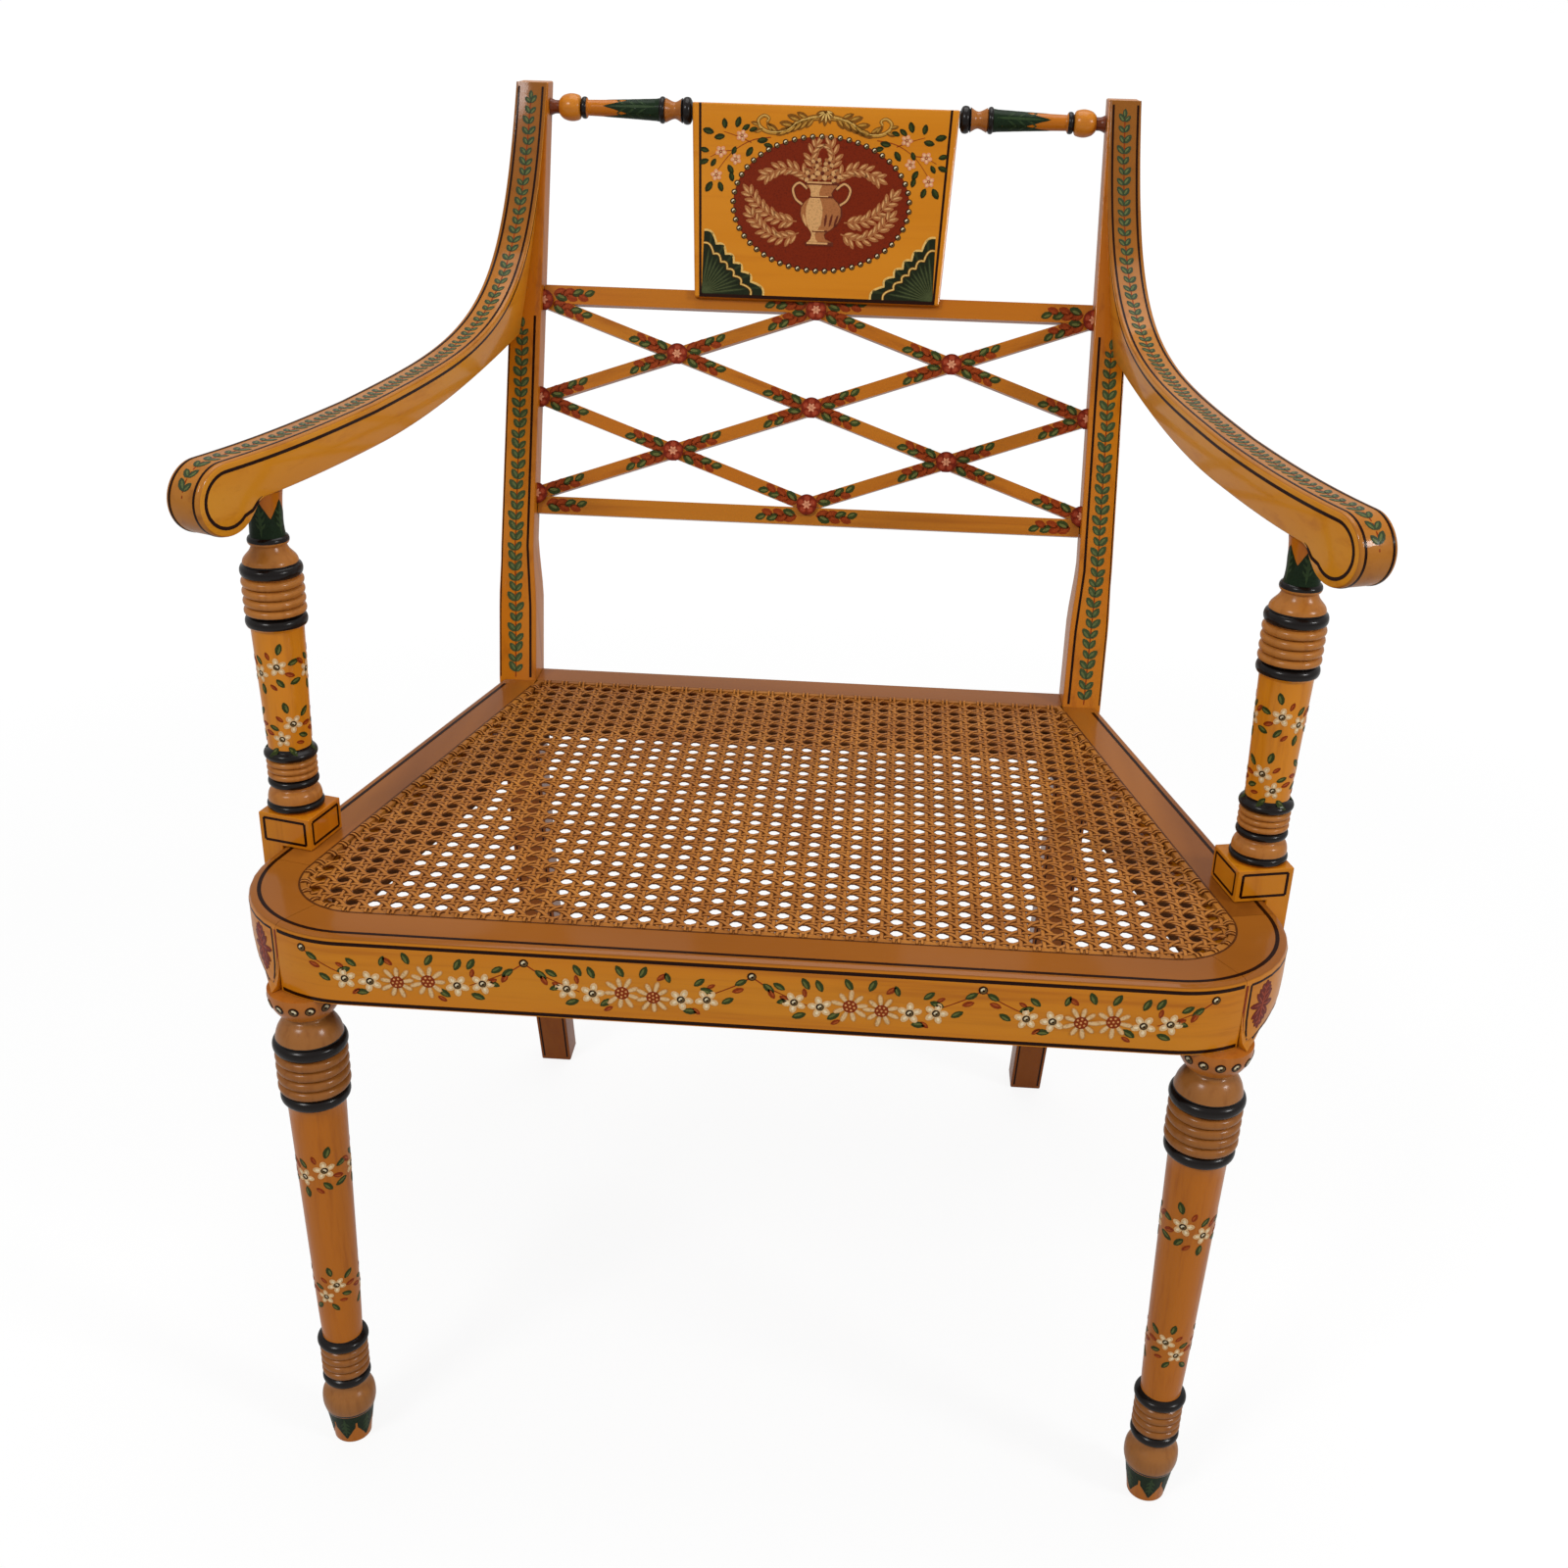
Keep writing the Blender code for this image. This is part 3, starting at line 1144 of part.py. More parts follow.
# Dowels and screws
for s, side in ((-1, "left"), (1, "right")):
    for number, bm in enumerate(corner_dowels(0), 1):
        node(f"seat_dowel_{side}_{number}", on_side(bm, s), BEECH, 0.6)
    for number, bm in enumerate(arm_dowels(0), 1):
        node(f"arm_dowel_{side}_{number}", on_side(bm, s), BEECH, 0.6)
    node("support_screw_" + side, on_side(support_screw(0), s), STEEL, 0.3, 1.0)
for number, bm in enumerate(tablet_dowels(0), 1):
    node(f"tablet_dowel_{number}", bm, BEECH, 0.6)
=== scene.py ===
# %% [markdown]
# # A painted satinwood armchair with a caned seat
# The solids of the chair come first. This lesson dresses them: it gives the wood its grain, turns finer
# legs on the lathe, weaves the cane and paints the ornament stroke by stroke.

from math import atan, atan2, ceil, cos, dist, pi, radians, sin, sqrt, tan

import bpy
from mathutils import Matrix, Vector


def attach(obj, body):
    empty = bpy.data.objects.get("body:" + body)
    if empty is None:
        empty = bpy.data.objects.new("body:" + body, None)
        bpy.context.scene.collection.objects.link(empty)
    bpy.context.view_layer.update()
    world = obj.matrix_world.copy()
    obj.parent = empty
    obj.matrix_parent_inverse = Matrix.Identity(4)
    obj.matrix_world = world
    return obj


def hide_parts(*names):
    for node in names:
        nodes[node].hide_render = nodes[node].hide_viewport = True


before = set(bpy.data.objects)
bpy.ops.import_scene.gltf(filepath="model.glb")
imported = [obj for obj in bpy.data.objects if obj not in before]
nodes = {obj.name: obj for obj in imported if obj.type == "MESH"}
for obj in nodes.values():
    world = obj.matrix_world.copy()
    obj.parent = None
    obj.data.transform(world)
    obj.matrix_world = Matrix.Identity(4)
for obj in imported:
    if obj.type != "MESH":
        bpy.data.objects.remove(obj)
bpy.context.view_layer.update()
SIDES = (("left", -1), ("right", 1))

# %% [markdown]
# ## Camera
# The photograph was taken from a little to the chair's right, from above seat height. A camera is three
# directions and a place, so those are written down and put in the columns of its matrix. The lens
# length comes from the focal length in picture points, over the width of the picture.

# %% Camera
PICTURE = 1600
FOCAL_POINTS = 1736.6
SENSOR = 36.0
CAMERA_PLACE = Vector((0.0593, -1.04815, 0.8485))
yaw, dip, roll = radians(-3.32), radians(25.19), radians(-1.60)
level = Vector((cos(yaw), -sin(yaw), 0))
ahead = Vector((sin(yaw) * cos(dip), cos(yaw) * cos(dip), -sin(dip)))
down = ahead.cross(level)
across = cos(roll) * level + sin(roll) * down
fall = -sin(roll) * level + cos(roll) * down
bpy.ops.object.camera_add()
camera = bpy.context.object
turned = Matrix((across, -fall, -ahead)).transposed().to_4x4()
camera.matrix_world = Matrix.Translation(CAMERA_PLACE) @ turned
camera.data.sensor_width = SENSOR
camera.data.lens = FOCAL_POINTS * SENSOR / PICTURE
camera.data.clip_start = 0.05
bpy.context.scene.camera = camera
bpy.context.scene.view_settings.view_transform = "Standard"
print("lens", round(camera.data.lens, 2), "mm")

# %% [markdown]
# ## Shader maths
# A material is a tree of nodes. Writing the tree out node by node is slow to read, so one small class
# wraps a socket: plus, minus and times on it add Math nodes, and one method adds any other node.


# %% A socket that does sums
class Signal:
    """The output of a node, which Python's operators can work on."""

    def __init__(self, tree, socket):
        self.tree = tree
        self.socket = socket

    def make(self, kind, settings=None, inputs=None, output=0):
        """Add a node: its settings first, then the values or links of its sockets."""
        node = self.tree.nodes.new("ShaderNode" + kind)
        for name, value in (settings or {}).items():
            if name == "stops":
                set_stops(node.color_ramp, value)
            else:
                setattr(node, name, value)
        for name, value in (inputs or {}).items():
            if isinstance(value, Signal):
                self.tree.links.new(value.socket, node.inputs[name])
            else:
                node.inputs[name].default_value = value
        return Signal(self.tree, node.outputs[output])

    def sum(self, operation, first, second):
        return self.make("Math", {"operation": operation}, {0: first, 1: second})

    def __add__(self, other):
        return self.sum("ADD", self, other)

    def __sub__(self, other):
        return self.sum("SUBTRACT", self, other)

    def __rsub__(self, other):
        return self.sum("SUBTRACT", other, self)

    def __mul__(self, other):
        return self.sum("MULTIPLY", self, other)

    def size(self):
        return self.sum("ABSOLUTE", self, 0.0)

    def rise(self, low, high):
        """0 below one value, 1 above another, and a soft step between."""
        return self.make("MapRange", {"interpolation_type": "SMOOTHSTEP"},
                         {"Value": self, "From Min": low, "From Max": high})

    def mix(self, low, high):
        """Blend two colours by this value."""
        return self.make("Mix", {"data_type": "RGBA"}, {0: self, 6: low, 7: high}, 2)

    def deepened(self, tint):
        """Multiply this colour by another."""
        settings = {"data_type": "RGBA", "blend_type": "MULTIPLY"}
        return self.make("Mix", settings, {0: 1.0, 6: self, 7: tint}, 2)

    def axis(self, name):
        return self.make("SeparateXYZ", None, {"Vector": self}, name)

    def stretched(self, scale, turn=(0, 0, 0)):
        return self.make("Mapping", None, {"Vector": self, "Rotation": turn, "Scale": scale})

    def noise(self, scale, detail=3.0, roughness=0.55):
        return self.make("TexNoise", None, {"Vector": self, "Scale": scale, "Detail": detail,
                                            "Roughness": roughness})


print("a socket can do", [name for name in vars(Signal) if name[0] != "_"])

# %% [markdown]
# ## Starting a material
# Every material starts from the same shader, with a clear coat over it where there is varnish. Colours are
# written as they look on a screen, and turned into the linear values that nodes work with.


# %% Starting a material
def set_stops(ramp, stops):
    """Give a ramp its places and colours, with hard steps between."""
    ramp.interpolation = "CONSTANT"
    while len(ramp.elements) < len(stops):
        ramp.elements.new(1.0)
    for element, (place, colour) in zip(ramp.elements, stops):
        element.position = place
        element.color = colour


def colour(red, green, blue):
    """A colour as it looks on a screen, 0 to 255, in the linear values that nodes want."""
    values = [v / 255 for v in (red, green, blue)]
    return (*(v / 12.92 if v <= 0.04045 else ((v + 0.055) / 1.055) ** 2.4 for v in values), 1.0)


def start(name, roughness=0.4, coat=0.0, coat_roughness=0.10):
    """A new material: returns it, its shader, and Object coordinates to work from."""
    material = bpy.data.materials.new(name)
    material.use_nodes = True
    tree = material.node_tree
    shader = tree.nodes["Principled BSDF"]
    shader.inputs["Roughness"].default_value = roughness
    shader.inputs["Specular IOR Level"].default_value = 0.05
    shader.inputs["Coat Weight"].default_value = coat
    shader.inputs["Coat Roughness"].default_value = coat_roughness
    places = tree.nodes.new("ShaderNodeTexCoord")
    return material, shader, Signal(tree, places.outputs["Object"])


def feed(shader, **links):
    """Link signals to the shader's sockets: base_color=... goes to Base Color."""
    for name, signal in links.items():
        signal.tree.links.new(signal.socket, shader.inputs[name.replace("_", " ").title()])


def bumped(shader, height, strength, depth):
    """Let a height signal roughen the surface."""
    bump = height.make("Bump", None, {"Height": height, "Strength": strength, "Distance": depth})
    feed(shader, normal=bump)


print("screen grey 128 is", round(colour(128, 128, 128)[0], 3), "in a node")

# %% [markdown]
# ## Floor
# The chair stands on a plain pale floor. A white picture ground would need a great deal of light. So the
# Light Path node shows the floor white to rays from the camera and through glass, and partly white in
# gloss. All other rays find it dimmer, and round the chair it keeps a soft shadow.

# %% Floor
GLOSS_SHARE = 0.3
FLOOR_SIZE, FLOOR_DROP, FLOOR_GLOW = 400, 0.0002, 1.02
SHADOW_SHARE, SHADOW_NEAR, SHADOW_FAR = 0.14, 0.8, 1.8
bpy.ops.object.select_all(action="DESELECT")
bpy.ops.mesh.primitive_plane_add(size=FLOOR_SIZE, location=(0, 0, -FLOOR_DROP))
floor = bpy.context.object
floor.name = "studio_floor"


def shown(tree):
    """1 for rays that see the stage straight or through glass, less for gloss, and 0 for the rest."""
    path = tree.nodes.new("ShaderNodeLightPath")
    seen_straight, in_gloss, through_glass = (Signal(tree, path.outputs["Is " + kind + " Ray"])
                                              for kind in ("Camera", "Glossy", "Transmission"))
    return seen_straight + in_gloss * GLOSS_SHARE + through_glass


floor_paint, floor_shader, floor_place = start("pale_floor", roughness=0.9)
floor_tree = floor_paint.node_tree
floor_shade = floor_place.noise(3.0).mix(colour(184, 183, 181), colour(190, 189, 188))
feed(floor_shader, base_color=shown(floor_tree).mix(floor_shade, colour(249, 249, 249)))
floor_shader.inputs["Specular IOR Level"].default_value = 0.0
glow = floor_place.make("Emission", None, {"Strength": FLOOR_GLOW})
distance = floor_place.make("VectorMath", {"operation": "LENGTH"}, {0: floor_place}, "Value")
glow_share = 1.0 - (1.0 - distance.rise(SHADOW_NEAR, SHADOW_FAR)) * SHADOW_SHARE
lit = Signal(floor_tree, floor_shader.outputs[0])
seen = glow.make("MixShader", None, {0: shown(floor_tree) * glow_share, 1: lit, 2: glow})
floor_tree.links.new(seen.socket, floor_tree.nodes["Material Output"].inputs["Surface"])
floor.data.materials.append(floor_paint)
print("floor laid, glowing at", FLOOR_GLOW)

# %% [markdown]
# ## Sky and lamps
# The sky gives even light from all round, and three lamps give it a direction, as in a small studio: a
# key from the left, a fill from the right and a broad one overhead. The camera sees the sky as white.

# %% Sky and lamps
SKY_LIGHT = 0.41
world = bpy.data.worlds.new("studio")
bpy.context.scene.world = world
world.use_nodes = True
sky = world.node_tree.nodes["Background"]
sky_strength = shown(world.node_tree) * (1.0 - SKY_LIGHT) + SKY_LIGHT
sky.inputs["Color"].default_value = (1, 1, 1, 1)
world.node_tree.links.new(sky_strength.socket, sky.inputs["Strength"])
LAMPS = (("key", (-1.3, -1.9, 2.3), 0.7, 27), ("fill", (2.0, -1.15, 1.65), 0.5, 20),
         ("top", (0.1, 0.5, 2.6), 1.6, 21))
LIT_PLACE = Vector((0, 0, 0.4))
for name, place, size, watts in LAMPS:
    bpy.ops.object.light_add(type="AREA", location=place)
    lamp = bpy.context.object
    lamp.name = name + "_lamp"
    lamp.data.size = size
    lamp.data.energy = watts
    lamp.rotation_euler = (LIT_PLACE - Vector(place)).to_track_quat("-Z", "Y").to_euler()
print(len(LAMPS), "lamps, sky at", SKY_LIGHT)

# %% [markdown]
# ## Satinwood
# Satinwood is a golden wood with fine, straight grain and a silky lustre, under a clear varnish. The
# grain runs along each piece, so every piece gets noise stretched in its own direction. The tops of the
# seat rails have aged browner than their sides, and on some pieces a painted shade darkens one end.

# %% Satinwood
SEAT_TOP = 0.378
GOLD_GROUND, GOLD_STREAK, GOLD_PALE = colour(205, 122, 14), colour(162, 84, 6), colour(206, 130, 22)
BROWN_TOP, BROWN_STREAK = colour(158, 93, 28), colour(130, 72, 18)


def satinwood(name, turn, ground=GOLD_GROUND, streak=GOLD_STREAK, pale=GOLD_PALE, brown_top=False,
              depth=1.0, shade=None):
    """Golden wood, with its grain along X once the coordinates are turned.

    A painted shade is the height where it starts, the height where it is full, and its colour.
    """
    material, shader, place = start(name, coat=0.35)
    grain = place.make("Mapping", None, {"Vector": place, "Rotation": turn})
    fibres = grain.stretched((4, 120 * depth, 120)).noise(1.0, 5.0, 0.6)
    bands = grain.stretched((2, 22 * depth, 22)).noise(1.0, 2.0)
    pores = grain.stretched((18, 520, 520)).noise(1.0, 2.0)
    wood = bands.rise(0.35, 0.70).mix(ground, pale)
    wood = (fibres.rise(0.48, 0.80) * 0.75).mix(wood, streak)
    wood = (pores.rise(0.60, 0.85) * 0.25).mix(wood, streak)
    height = place.axis("Z")
    if brown_top:
        aged = bands.rise(0.3, 0.7).mix(BROWN_TOP, BROWN_STREAK)
        wood = height.rise(SEAT_TOP - 0.0022, SEAT_TOP - 0.0008).mix(wood, aged)
    # Painted shade: the wood darkens between two heights.
    if shade:
        starts, full, dark = shade
        wood = (height.rise(starts, full) * 0.75).mix(wood, dark)
    feed(shader, base_color=wood, roughness=fibres * 0.12 + 0.30)
    bumped(shader, pores + fibres, 0.12, 0.0003)
    return material


def wear(piece, material):
    """Put a material on every slot of a piece."""
    for slot in piece.material_slots:
        slot.material = material


print("satinwood ready")

# %% [markdown]
# ## Wood on the solids
# Each solid wears the wood whose grain runs its way. The bars of the back slope up or down, so they have
# a wood each. The posts are a little browner, and below the seat they get a painted shade.

# %% Wood on the solids
LATTICE_TILT = 0.336373
LEVEL, ALONG_Y, UPRIGHT = (0, 0, 0), (0, 0, pi / 2), (0, pi / 2, 0)
BAR_TONES = colour(182, 104, 12), colour(146, 76, 6), colour(184, 112, 20)
POST_TONES = colour(190, 108, 14), colour(146, 74, 6), colour(192, 115, 20)
# Painted shade under the seat: the posts darken from 1 cm below the seat top, fully by 6 cm below.
POST_PAINTED_SHADE = SEAT_TOP - 0.01, SEAT_TOP - 0.06, colour(128, 58, 0)
wood_across = satinwood("satinwood_across", LEVEL, *BAR_TONES)
wood_rising = satinwood("satinwood_rising", (0, LATTICE_TILT, 0), *BAR_TONES)
wood_falling = satinwood("satinwood_falling", (0, -LATTICE_TILT, 0), *BAR_TONES)
wood_tablet = satinwood("satinwood_tablet", LEVEL, colour(198, 120, 6), colour(186, 106, 4))
wood_seat_across = satinwood("satinwood_seat_across", LEVEL, brown_top=True, depth=0.2)
wood_seat_side = satinwood("satinwood_seat_side", ALONG_Y, brown_top=True)
wood_post = satinwood("satinwood_post", UPRIGHT, *POST_TONES, shade=POST_PAINTED_SHADE)
WORN = ((wood_across, ("upper_back_rail", "lower_back_rail")),
        (wood_tablet, ("crest_tablet",)),
        (wood_seat_across, ("front_seat_rail", "back_seat_rail", "front_corner_block_left",
                            "front_corner_block_right")),
        (wood_seat_side, ("side_seat_rail_left", "side_seat_rail_right")),
        (wood_post, ("rear_post_left", "rear_post_right")),
        (wood_rising, ("lattice_long_bar_rising", "lattice_short_bar_upper_left",
                       "lattice_short_bar_lower_right")),
        (wood_falling, ("lattice_long_bar_falling", "lattice_short_bar_lower_left",
                        "lattice_short_bar_upper_right")))
for wood, names in WORN:
    for name in names:
        wear(nodes[name], wood)
print("satinwood on", sum(len(names) for wood, names in WORN), "solids")

# %% [markdown]
# ## Hidden fixings
# Dowels and screws hold the frame together and hardly show. They still get a finish of their own: dry
# beech for the dowels, and blued steel for the screws under the seat.

# %% Beech and steel
beech, beech_shader, place = start("dowel_beech", roughness=0.7)
flecks = place.stretched((300, 300, 60)).noise(1.0, 4.0)
feed(beech_shader, base_color=flecks.rise(0.4, 0.7).mix(colour(206, 166, 118), colour(176, 132, 86)))
steel, steel_shader, place = start("screw_steel", roughness=0.35)
steel_shader.inputs["Metallic"].default_value = 1.0
tarnish = place.noise(400.0, 4.0)
feed(steel_shader, base_color=tarnish.rise(0.4, 0.7).mix(colour(150, 150, 152), colour(96, 92, 90)),
     roughness=tarnish * 0.3 + 0.25)
for name, node in nodes.items():
    if "dowel" in name:
        wear(node, beech)
    elif "screw" in name:
        wear(node, steel)
print("fixings finished")

# %% [markdown]
# ## Profiles
# The legs, the arm supports and the crest spindles are turned. On a lathe the profile is all that
# matters. Beads and reeds are half circles, and the parts between them are smooth curves through a few
# points. Heights near an end are counted from that end.

# %% Profiles
BEAD_STEPS = 7
CURVE_STEPS = 5


def spaced(first, last, steps):
    """Equal steps from one number to another."""
    return [first + (last - first) * k / steps for k in range(steps + 1)]


def bead(low, high, foot, radius):
    """A rounded ring, as pairs of radius and height."""
    swells = [(sqrt(max(0.0, 1 - (2 * t - 1) ** 2)), t) for t in spaced(0, 1, BEAD_STEPS)]
    return [(foot + (radius - foot) * swell, low + (high - low) * t) for swell, t in swells]


def reeds(low, high, count, foot, radius):
    """Several beads in a row."""
    pitch = (high - low) / count
    return [p for k in range(count) for p in bead(low + pitch * k, low + pitch * (k + 1), foot, radius)]


def curve(*points):
    """A smooth line through pairs of numbers."""
    ends = [points[0], *points, points[-1]]
    line = []
    for a, b, c, d in zip(ends, ends[1:], ends[2:], ends[3:]):
        for t in spaced(0, 1, CURVE_STEPS)[:-1]:
            line.append(tuple(0.5 * (2 * q + (r - p) * t + (2 * p - 5 * q + 4 * r - s) * t * t
                                     + (3 * q - p - 3 * r + s) * t ** 3)
                              for p, q, r, s in zip(a, b, c, d)))
    return line + [points[-1]]


def raised(base, *parts):
    """Parts of a profile, one after another, with their heights counted from a base."""
    return [(r, base + z) for part in parts for r, z in part]


print("a bead has", len(bead(0, 1, 0, 1)), "points")

# %% [markdown]
# ## Lathe
# Half a profile is drawn as a chain of edges, spun round its axis and welded where it meets itself. A
# turning for the right side is copied and mirrored for the left. Every finished piece gets its material
# and the body that it rides on, and hides the solid that it stands for.

# %% Lathe
LATHE_STEPS, SMOOTH_ANGLE = 56, radians(50)
MERGE_DISTANCE = 2e-6
MIRROR = Matrix.Scale(-1, 4, (1, 0, 0))


def only(piece):
    """Select one piece and nothing else."""
    bpy.ops.object.select_all(action="DESELECT")
    piece.select_set(True)
    bpy.context.view_layer.objects.active = piece


def new_piece(name, points, edges=(), faces=()):
    mesh = bpy.data.meshes.new(name)
    mesh.from_pydata(points, edges, faces)
    piece = bpy.data.objects.new(name, mesh)
    bpy.context.scene.collection.objects.link(piece)
    only(piece)
    return piece


def edit(*steps):
    """Run edit-mode operators on the whole of the active piece."""
    bpy.ops.object.mode_set(mode="EDIT")
    bpy.ops.mesh.select_all(action="SELECT")
    for step in steps:
        step()
    bpy.ops.object.mode_set(mode="OBJECT")


def merge():
    bpy.ops.mesh.remove_doubles(threshold=MERGE_DISTANCE)


def face_out():
    bpy.ops.mesh.normals_make_consistent(inside=False)


def lathe(name, profile):
    """Draw half a profile up the Z axis, spin it round and weld the seam."""
    points = [(r, 0, z) for r, z in profile]
    piece = new_piece(name, points, [(k, k + 1) for k in range(len(points) - 1)])
    edit(lambda: bpy.ops.mesh.spin(steps=LATHE_STEPS, angle=2 * pi, center=(0, 0, 0), axis=(0, 0, 1)),
         merge, face_out)
    bpy.ops.object.shade_smooth_by_angle(angle=SMOOTH_ANGLE)
    return piece


def put(piece, matrix):
    """Move a piece's mesh, and leave its object at the origin."""
    piece.data.transform(matrix)
    if matrix.determinant() < 0:
        piece.data.flip_normals()


def pair(right, left_name):
    """A right-hand piece and a mirrored copy with a mesh of its own, by side."""
    left = right.copy()
    left.data = right.data.copy()
    left.name = left_name
    left.data.name = left_name
    bpy.context.scene.collection.objects.link(left)
    put(left, MIRROR)
    return {"left": left, "right": right}


def hand_in(piece, material, slot, *replaced):
    """Finish a piece: its material, the body it rides on and the solids it stands for; the slot is not used.
    """
    piece.data.materials.clear()
    piece.data.materials.append(material)
    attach(piece, "root")
    if replaced:
        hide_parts(*replaced)


print("lathe ready,", LATHE_STEPS, "steps round")

# %% [markdown]
# ## Front legs
# A front leg has a pear-shaped foot, a reeded ankle between black rings, a tapered shaft, a reeded band
# between thicker rings, a dome, and a cup that takes the seat rail. One leg is turned and the other is
# a mirrored copy.

# %% Front legs
LEG_X, LEG_Y = 0.2525, -0.25365
LEG_TOP = 0.3352
leg_profile = [(0, 0), (0.0108, 0), (0.0115, 0.0007)]
leg_profile += curve((0.0115, 0.0010), (0.0129, 0.0120), (0.0146, 0.0238))
leg_profile += curve((0.0152, 0.0242), (0.0164, 0.0300), (0.0158, 0.0372), (0.0123, 0.0425), (0.0120, 0.0464))
leg_profile += bead(0.0468, 0.0534, 0.0121, 0.0148)
leg_profile += reeds(0.0537, 0.0757, 4, 0.0123, 0.0146)
leg_profile += bead(0.0758, 0.0826, 0.0122, 0.0156)
leg_profile += curve((0.0121, 0.0830), (0.0131, 0.1100), (0.0150, 0.1900), (0.0166, LEG_TOP - 0.0757))
leg_profile += raised(LEG_TOP, bead(-0.0753, -0.0675, 0.0168, 0.0199),
                      reeds(-0.0672, -0.0411, 4, 0.0176, 0.0206),
                      bead(-0.0409, -0.0327, 0.0180, 0.0212),
                      curve((0.0192, -0.0324), (0.0178, -0.0272), (0.0150, -0.0225), (0.0121, -0.0198),
                            (0.0115, -0.0182)),
                      curve((0.0128, -0.0176), (0.0160, -0.0150), (0.0190, -0.0100), (0.0205, -0.0050),
                            (0.0205, 0)),
                      [(0, 0)])
leg_place = Matrix.Translation((LEG_X, LEG_Y, 0))
leg = lathe("front_leg_right_turning", leg_profile)
put(leg, leg_place)
legs = pair(leg, "front_leg_left_turning")
print("a leg has", len(leg.data.polygons), "faces")

# %% [markdown]
# ## Arm supports
# An arm support is turned too, and its neck flares into the arm. It grows out of a square block that laps
# over the side rail. The block's outline is drawn with the rail's corner cut out of it, and then it is
# pushed through to its full depth and its edges are eased.

# %% Arm supports
BLOCK_TOP, SUPPORT_TOP = 0.3985, 0.5902
SUPPORT_X, SUPPORT_Y = 0.28308, -0.15663
support_profile = raised(BLOCK_TOP, [(0, -0.004), (0.0150, -0.004)], bead(0.0002, 0.0050, 0.0150, 0.0167),
                         curve((0.0158, 0.0052), (0.0156, 0.0082), (0.0146, 0.0110), (0.0125, 0.0130),
                               (0.0122, 0.0145)),
                         bead(0.0147, 0.0199, 0.0126, 0.0148), reeds(0.0201, 0.0321, 3, 0.0126, 0.0146),
                         bead(0.0323, 0.0379, 0.0126, 0.0155))
support_profile += curve((0.0124, BLOCK_TOP + 0.0382), (0.0130, BLOCK_TOP + 0.0520),
                         (0.0149, SUPPORT_TOP - 0.0787))
support_profile += raised(SUPPORT_TOP, bead(-0.0783, -0.0713, 0.0150, 0.0174),
                          reeds(-0.0711, -0.0487, 4, 0.0147, 0.0174), bead(-0.0485, -0.0415, 0.0152, 0.0174),
                          curve((0.0156, -0.0413), (0.0147, -0.0383), (0.0112, -0.0342), (0.0096, -0.0308)),
                          bead(-0.0306, -0.0254, 0.0096, 0.0116),
                          curve((0.0096, -0.0250), (0.0091, -0.0180), (0.0098, -0.0060), (0.0106, 0)),
                          [(0, 0)])
support_place = Matrix.Translation((SUPPORT_X, SUPPORT_Y, 0))
support = lathe("arm_support_right_turning", support_profile)
put(support, support_place)
supports = pair(support, "arm_support_left_turning")

SIDE_ANGLE = 1.814174
BLOCK_OUT, BLOCK_IN, BLOCK_HALF, BLOCK_NOTCH = 0.0145, -0.0195, 0.017, 0.0003
BLOCK_SEAT, BLOCK_TAIL, BLOCK_SLOPE = SEAT_TOP + 0.0003, SEAT_TOP - 0.036, 0.003
BLOCK_EASE = 0.0006
block_frame = Matrix.Translation((0.28376, -0.15646, 0)) @ Matrix.Rotation(SIDE_ANGLE - pi / 2, 4, "Z")
outline = ((BLOCK_IN, BLOCK_SEAT), (BLOCK_NOTCH, BLOCK_SEAT), (BLOCK_NOTCH, BLOCK_TAIL),
           (BLOCK_OUT - BLOCK_SLOPE, BLOCK_TAIL), (BLOCK_OUT, BLOCK_TAIL + BLOCK_SLOPE),
           (BLOCK_OUT, BLOCK_TOP), (BLOCK_IN, BLOCK_TOP))
block = new_piece("arm_support_right_block", [(x, -BLOCK_HALF, z) for x, z in outline], (),
                  [range(len(outline))])
edit(lambda: bpy.ops.mesh.extrude_region_move(TRANSFORM_OT_translate={"value": (0, 2 * BLOCK_HALF, 0)}),
     lambda: bpy.ops.mesh.select_all(action="SELECT"), face_out,
     lambda: bpy.ops.mesh.bevel(offset=BLOCK_EASE, segments=2, affect="EDGES"))
put(block, block_frame)
blocks = pair(block, "arm_support_left_block")
print("a support has", len(support.data.polygons), "faces")

# %% [markdown]
# ## Crest spindles
# Two little spindles run from the posts to the tablet. A spindle is turned up the Z axis like the rest
# and then laid along X, in the sloping plane of the back. The back's own frame says where that is.

# %% Crest spindles
RAKE = 0.351664
POST_Y = 0.10735
back_frame = Matrix.Translation((0, POST_Y, SEAT_TOP)) @ Matrix.Rotation(-RAKE, 4, "X")
SPINDLE_HEIGHT, SPINDLE_BACK = 0.414806, 0.0115
SPINDLE_START, SPINDLE_END = 0.1990, 0.10316
spindle_profile = [(0, 0)]
spindle_profile += curve((0.0060, 0), (0.0047, 0.0030), (0.0046, 0.0062))
spindle_profile += curve((0.0056, 0.0066), (0.0082, 0.0095), (0.0095, 0.0150), (0.0084, 0.0205),
                         (0.0058, 0.0220))
spindle_profile += bead(0.0222, 0.0270, 0.0056, 0.0076)
spindle_profile += curve((0.0054, 0.0273), (0.0060, 0.0480), (0.0075, SPINDLE_END - 0.0244))
spindle_profile += raised(SPINDLE_END, bead(-0.0242, -0.0198, 0.0072, 0.0093),
                          curve((0.0084, -0.0195), (0.0062, -0.0150), (0.0060, -0.0120), (0.0086, -0.0075)),
                          bead(-0.0073, -0.0008, 0.0072, 0.0095),
                          [(0.0060, -0.0006), (0.0060, 0), (0, 0)])
lying = Matrix.Translation((SPINDLE_START, SPINDLE_BACK, SPINDLE_HEIGHT)) @ Matrix.Rotation(-pi / 2, 4, "Y")
spindle_place = back_frame @ lying
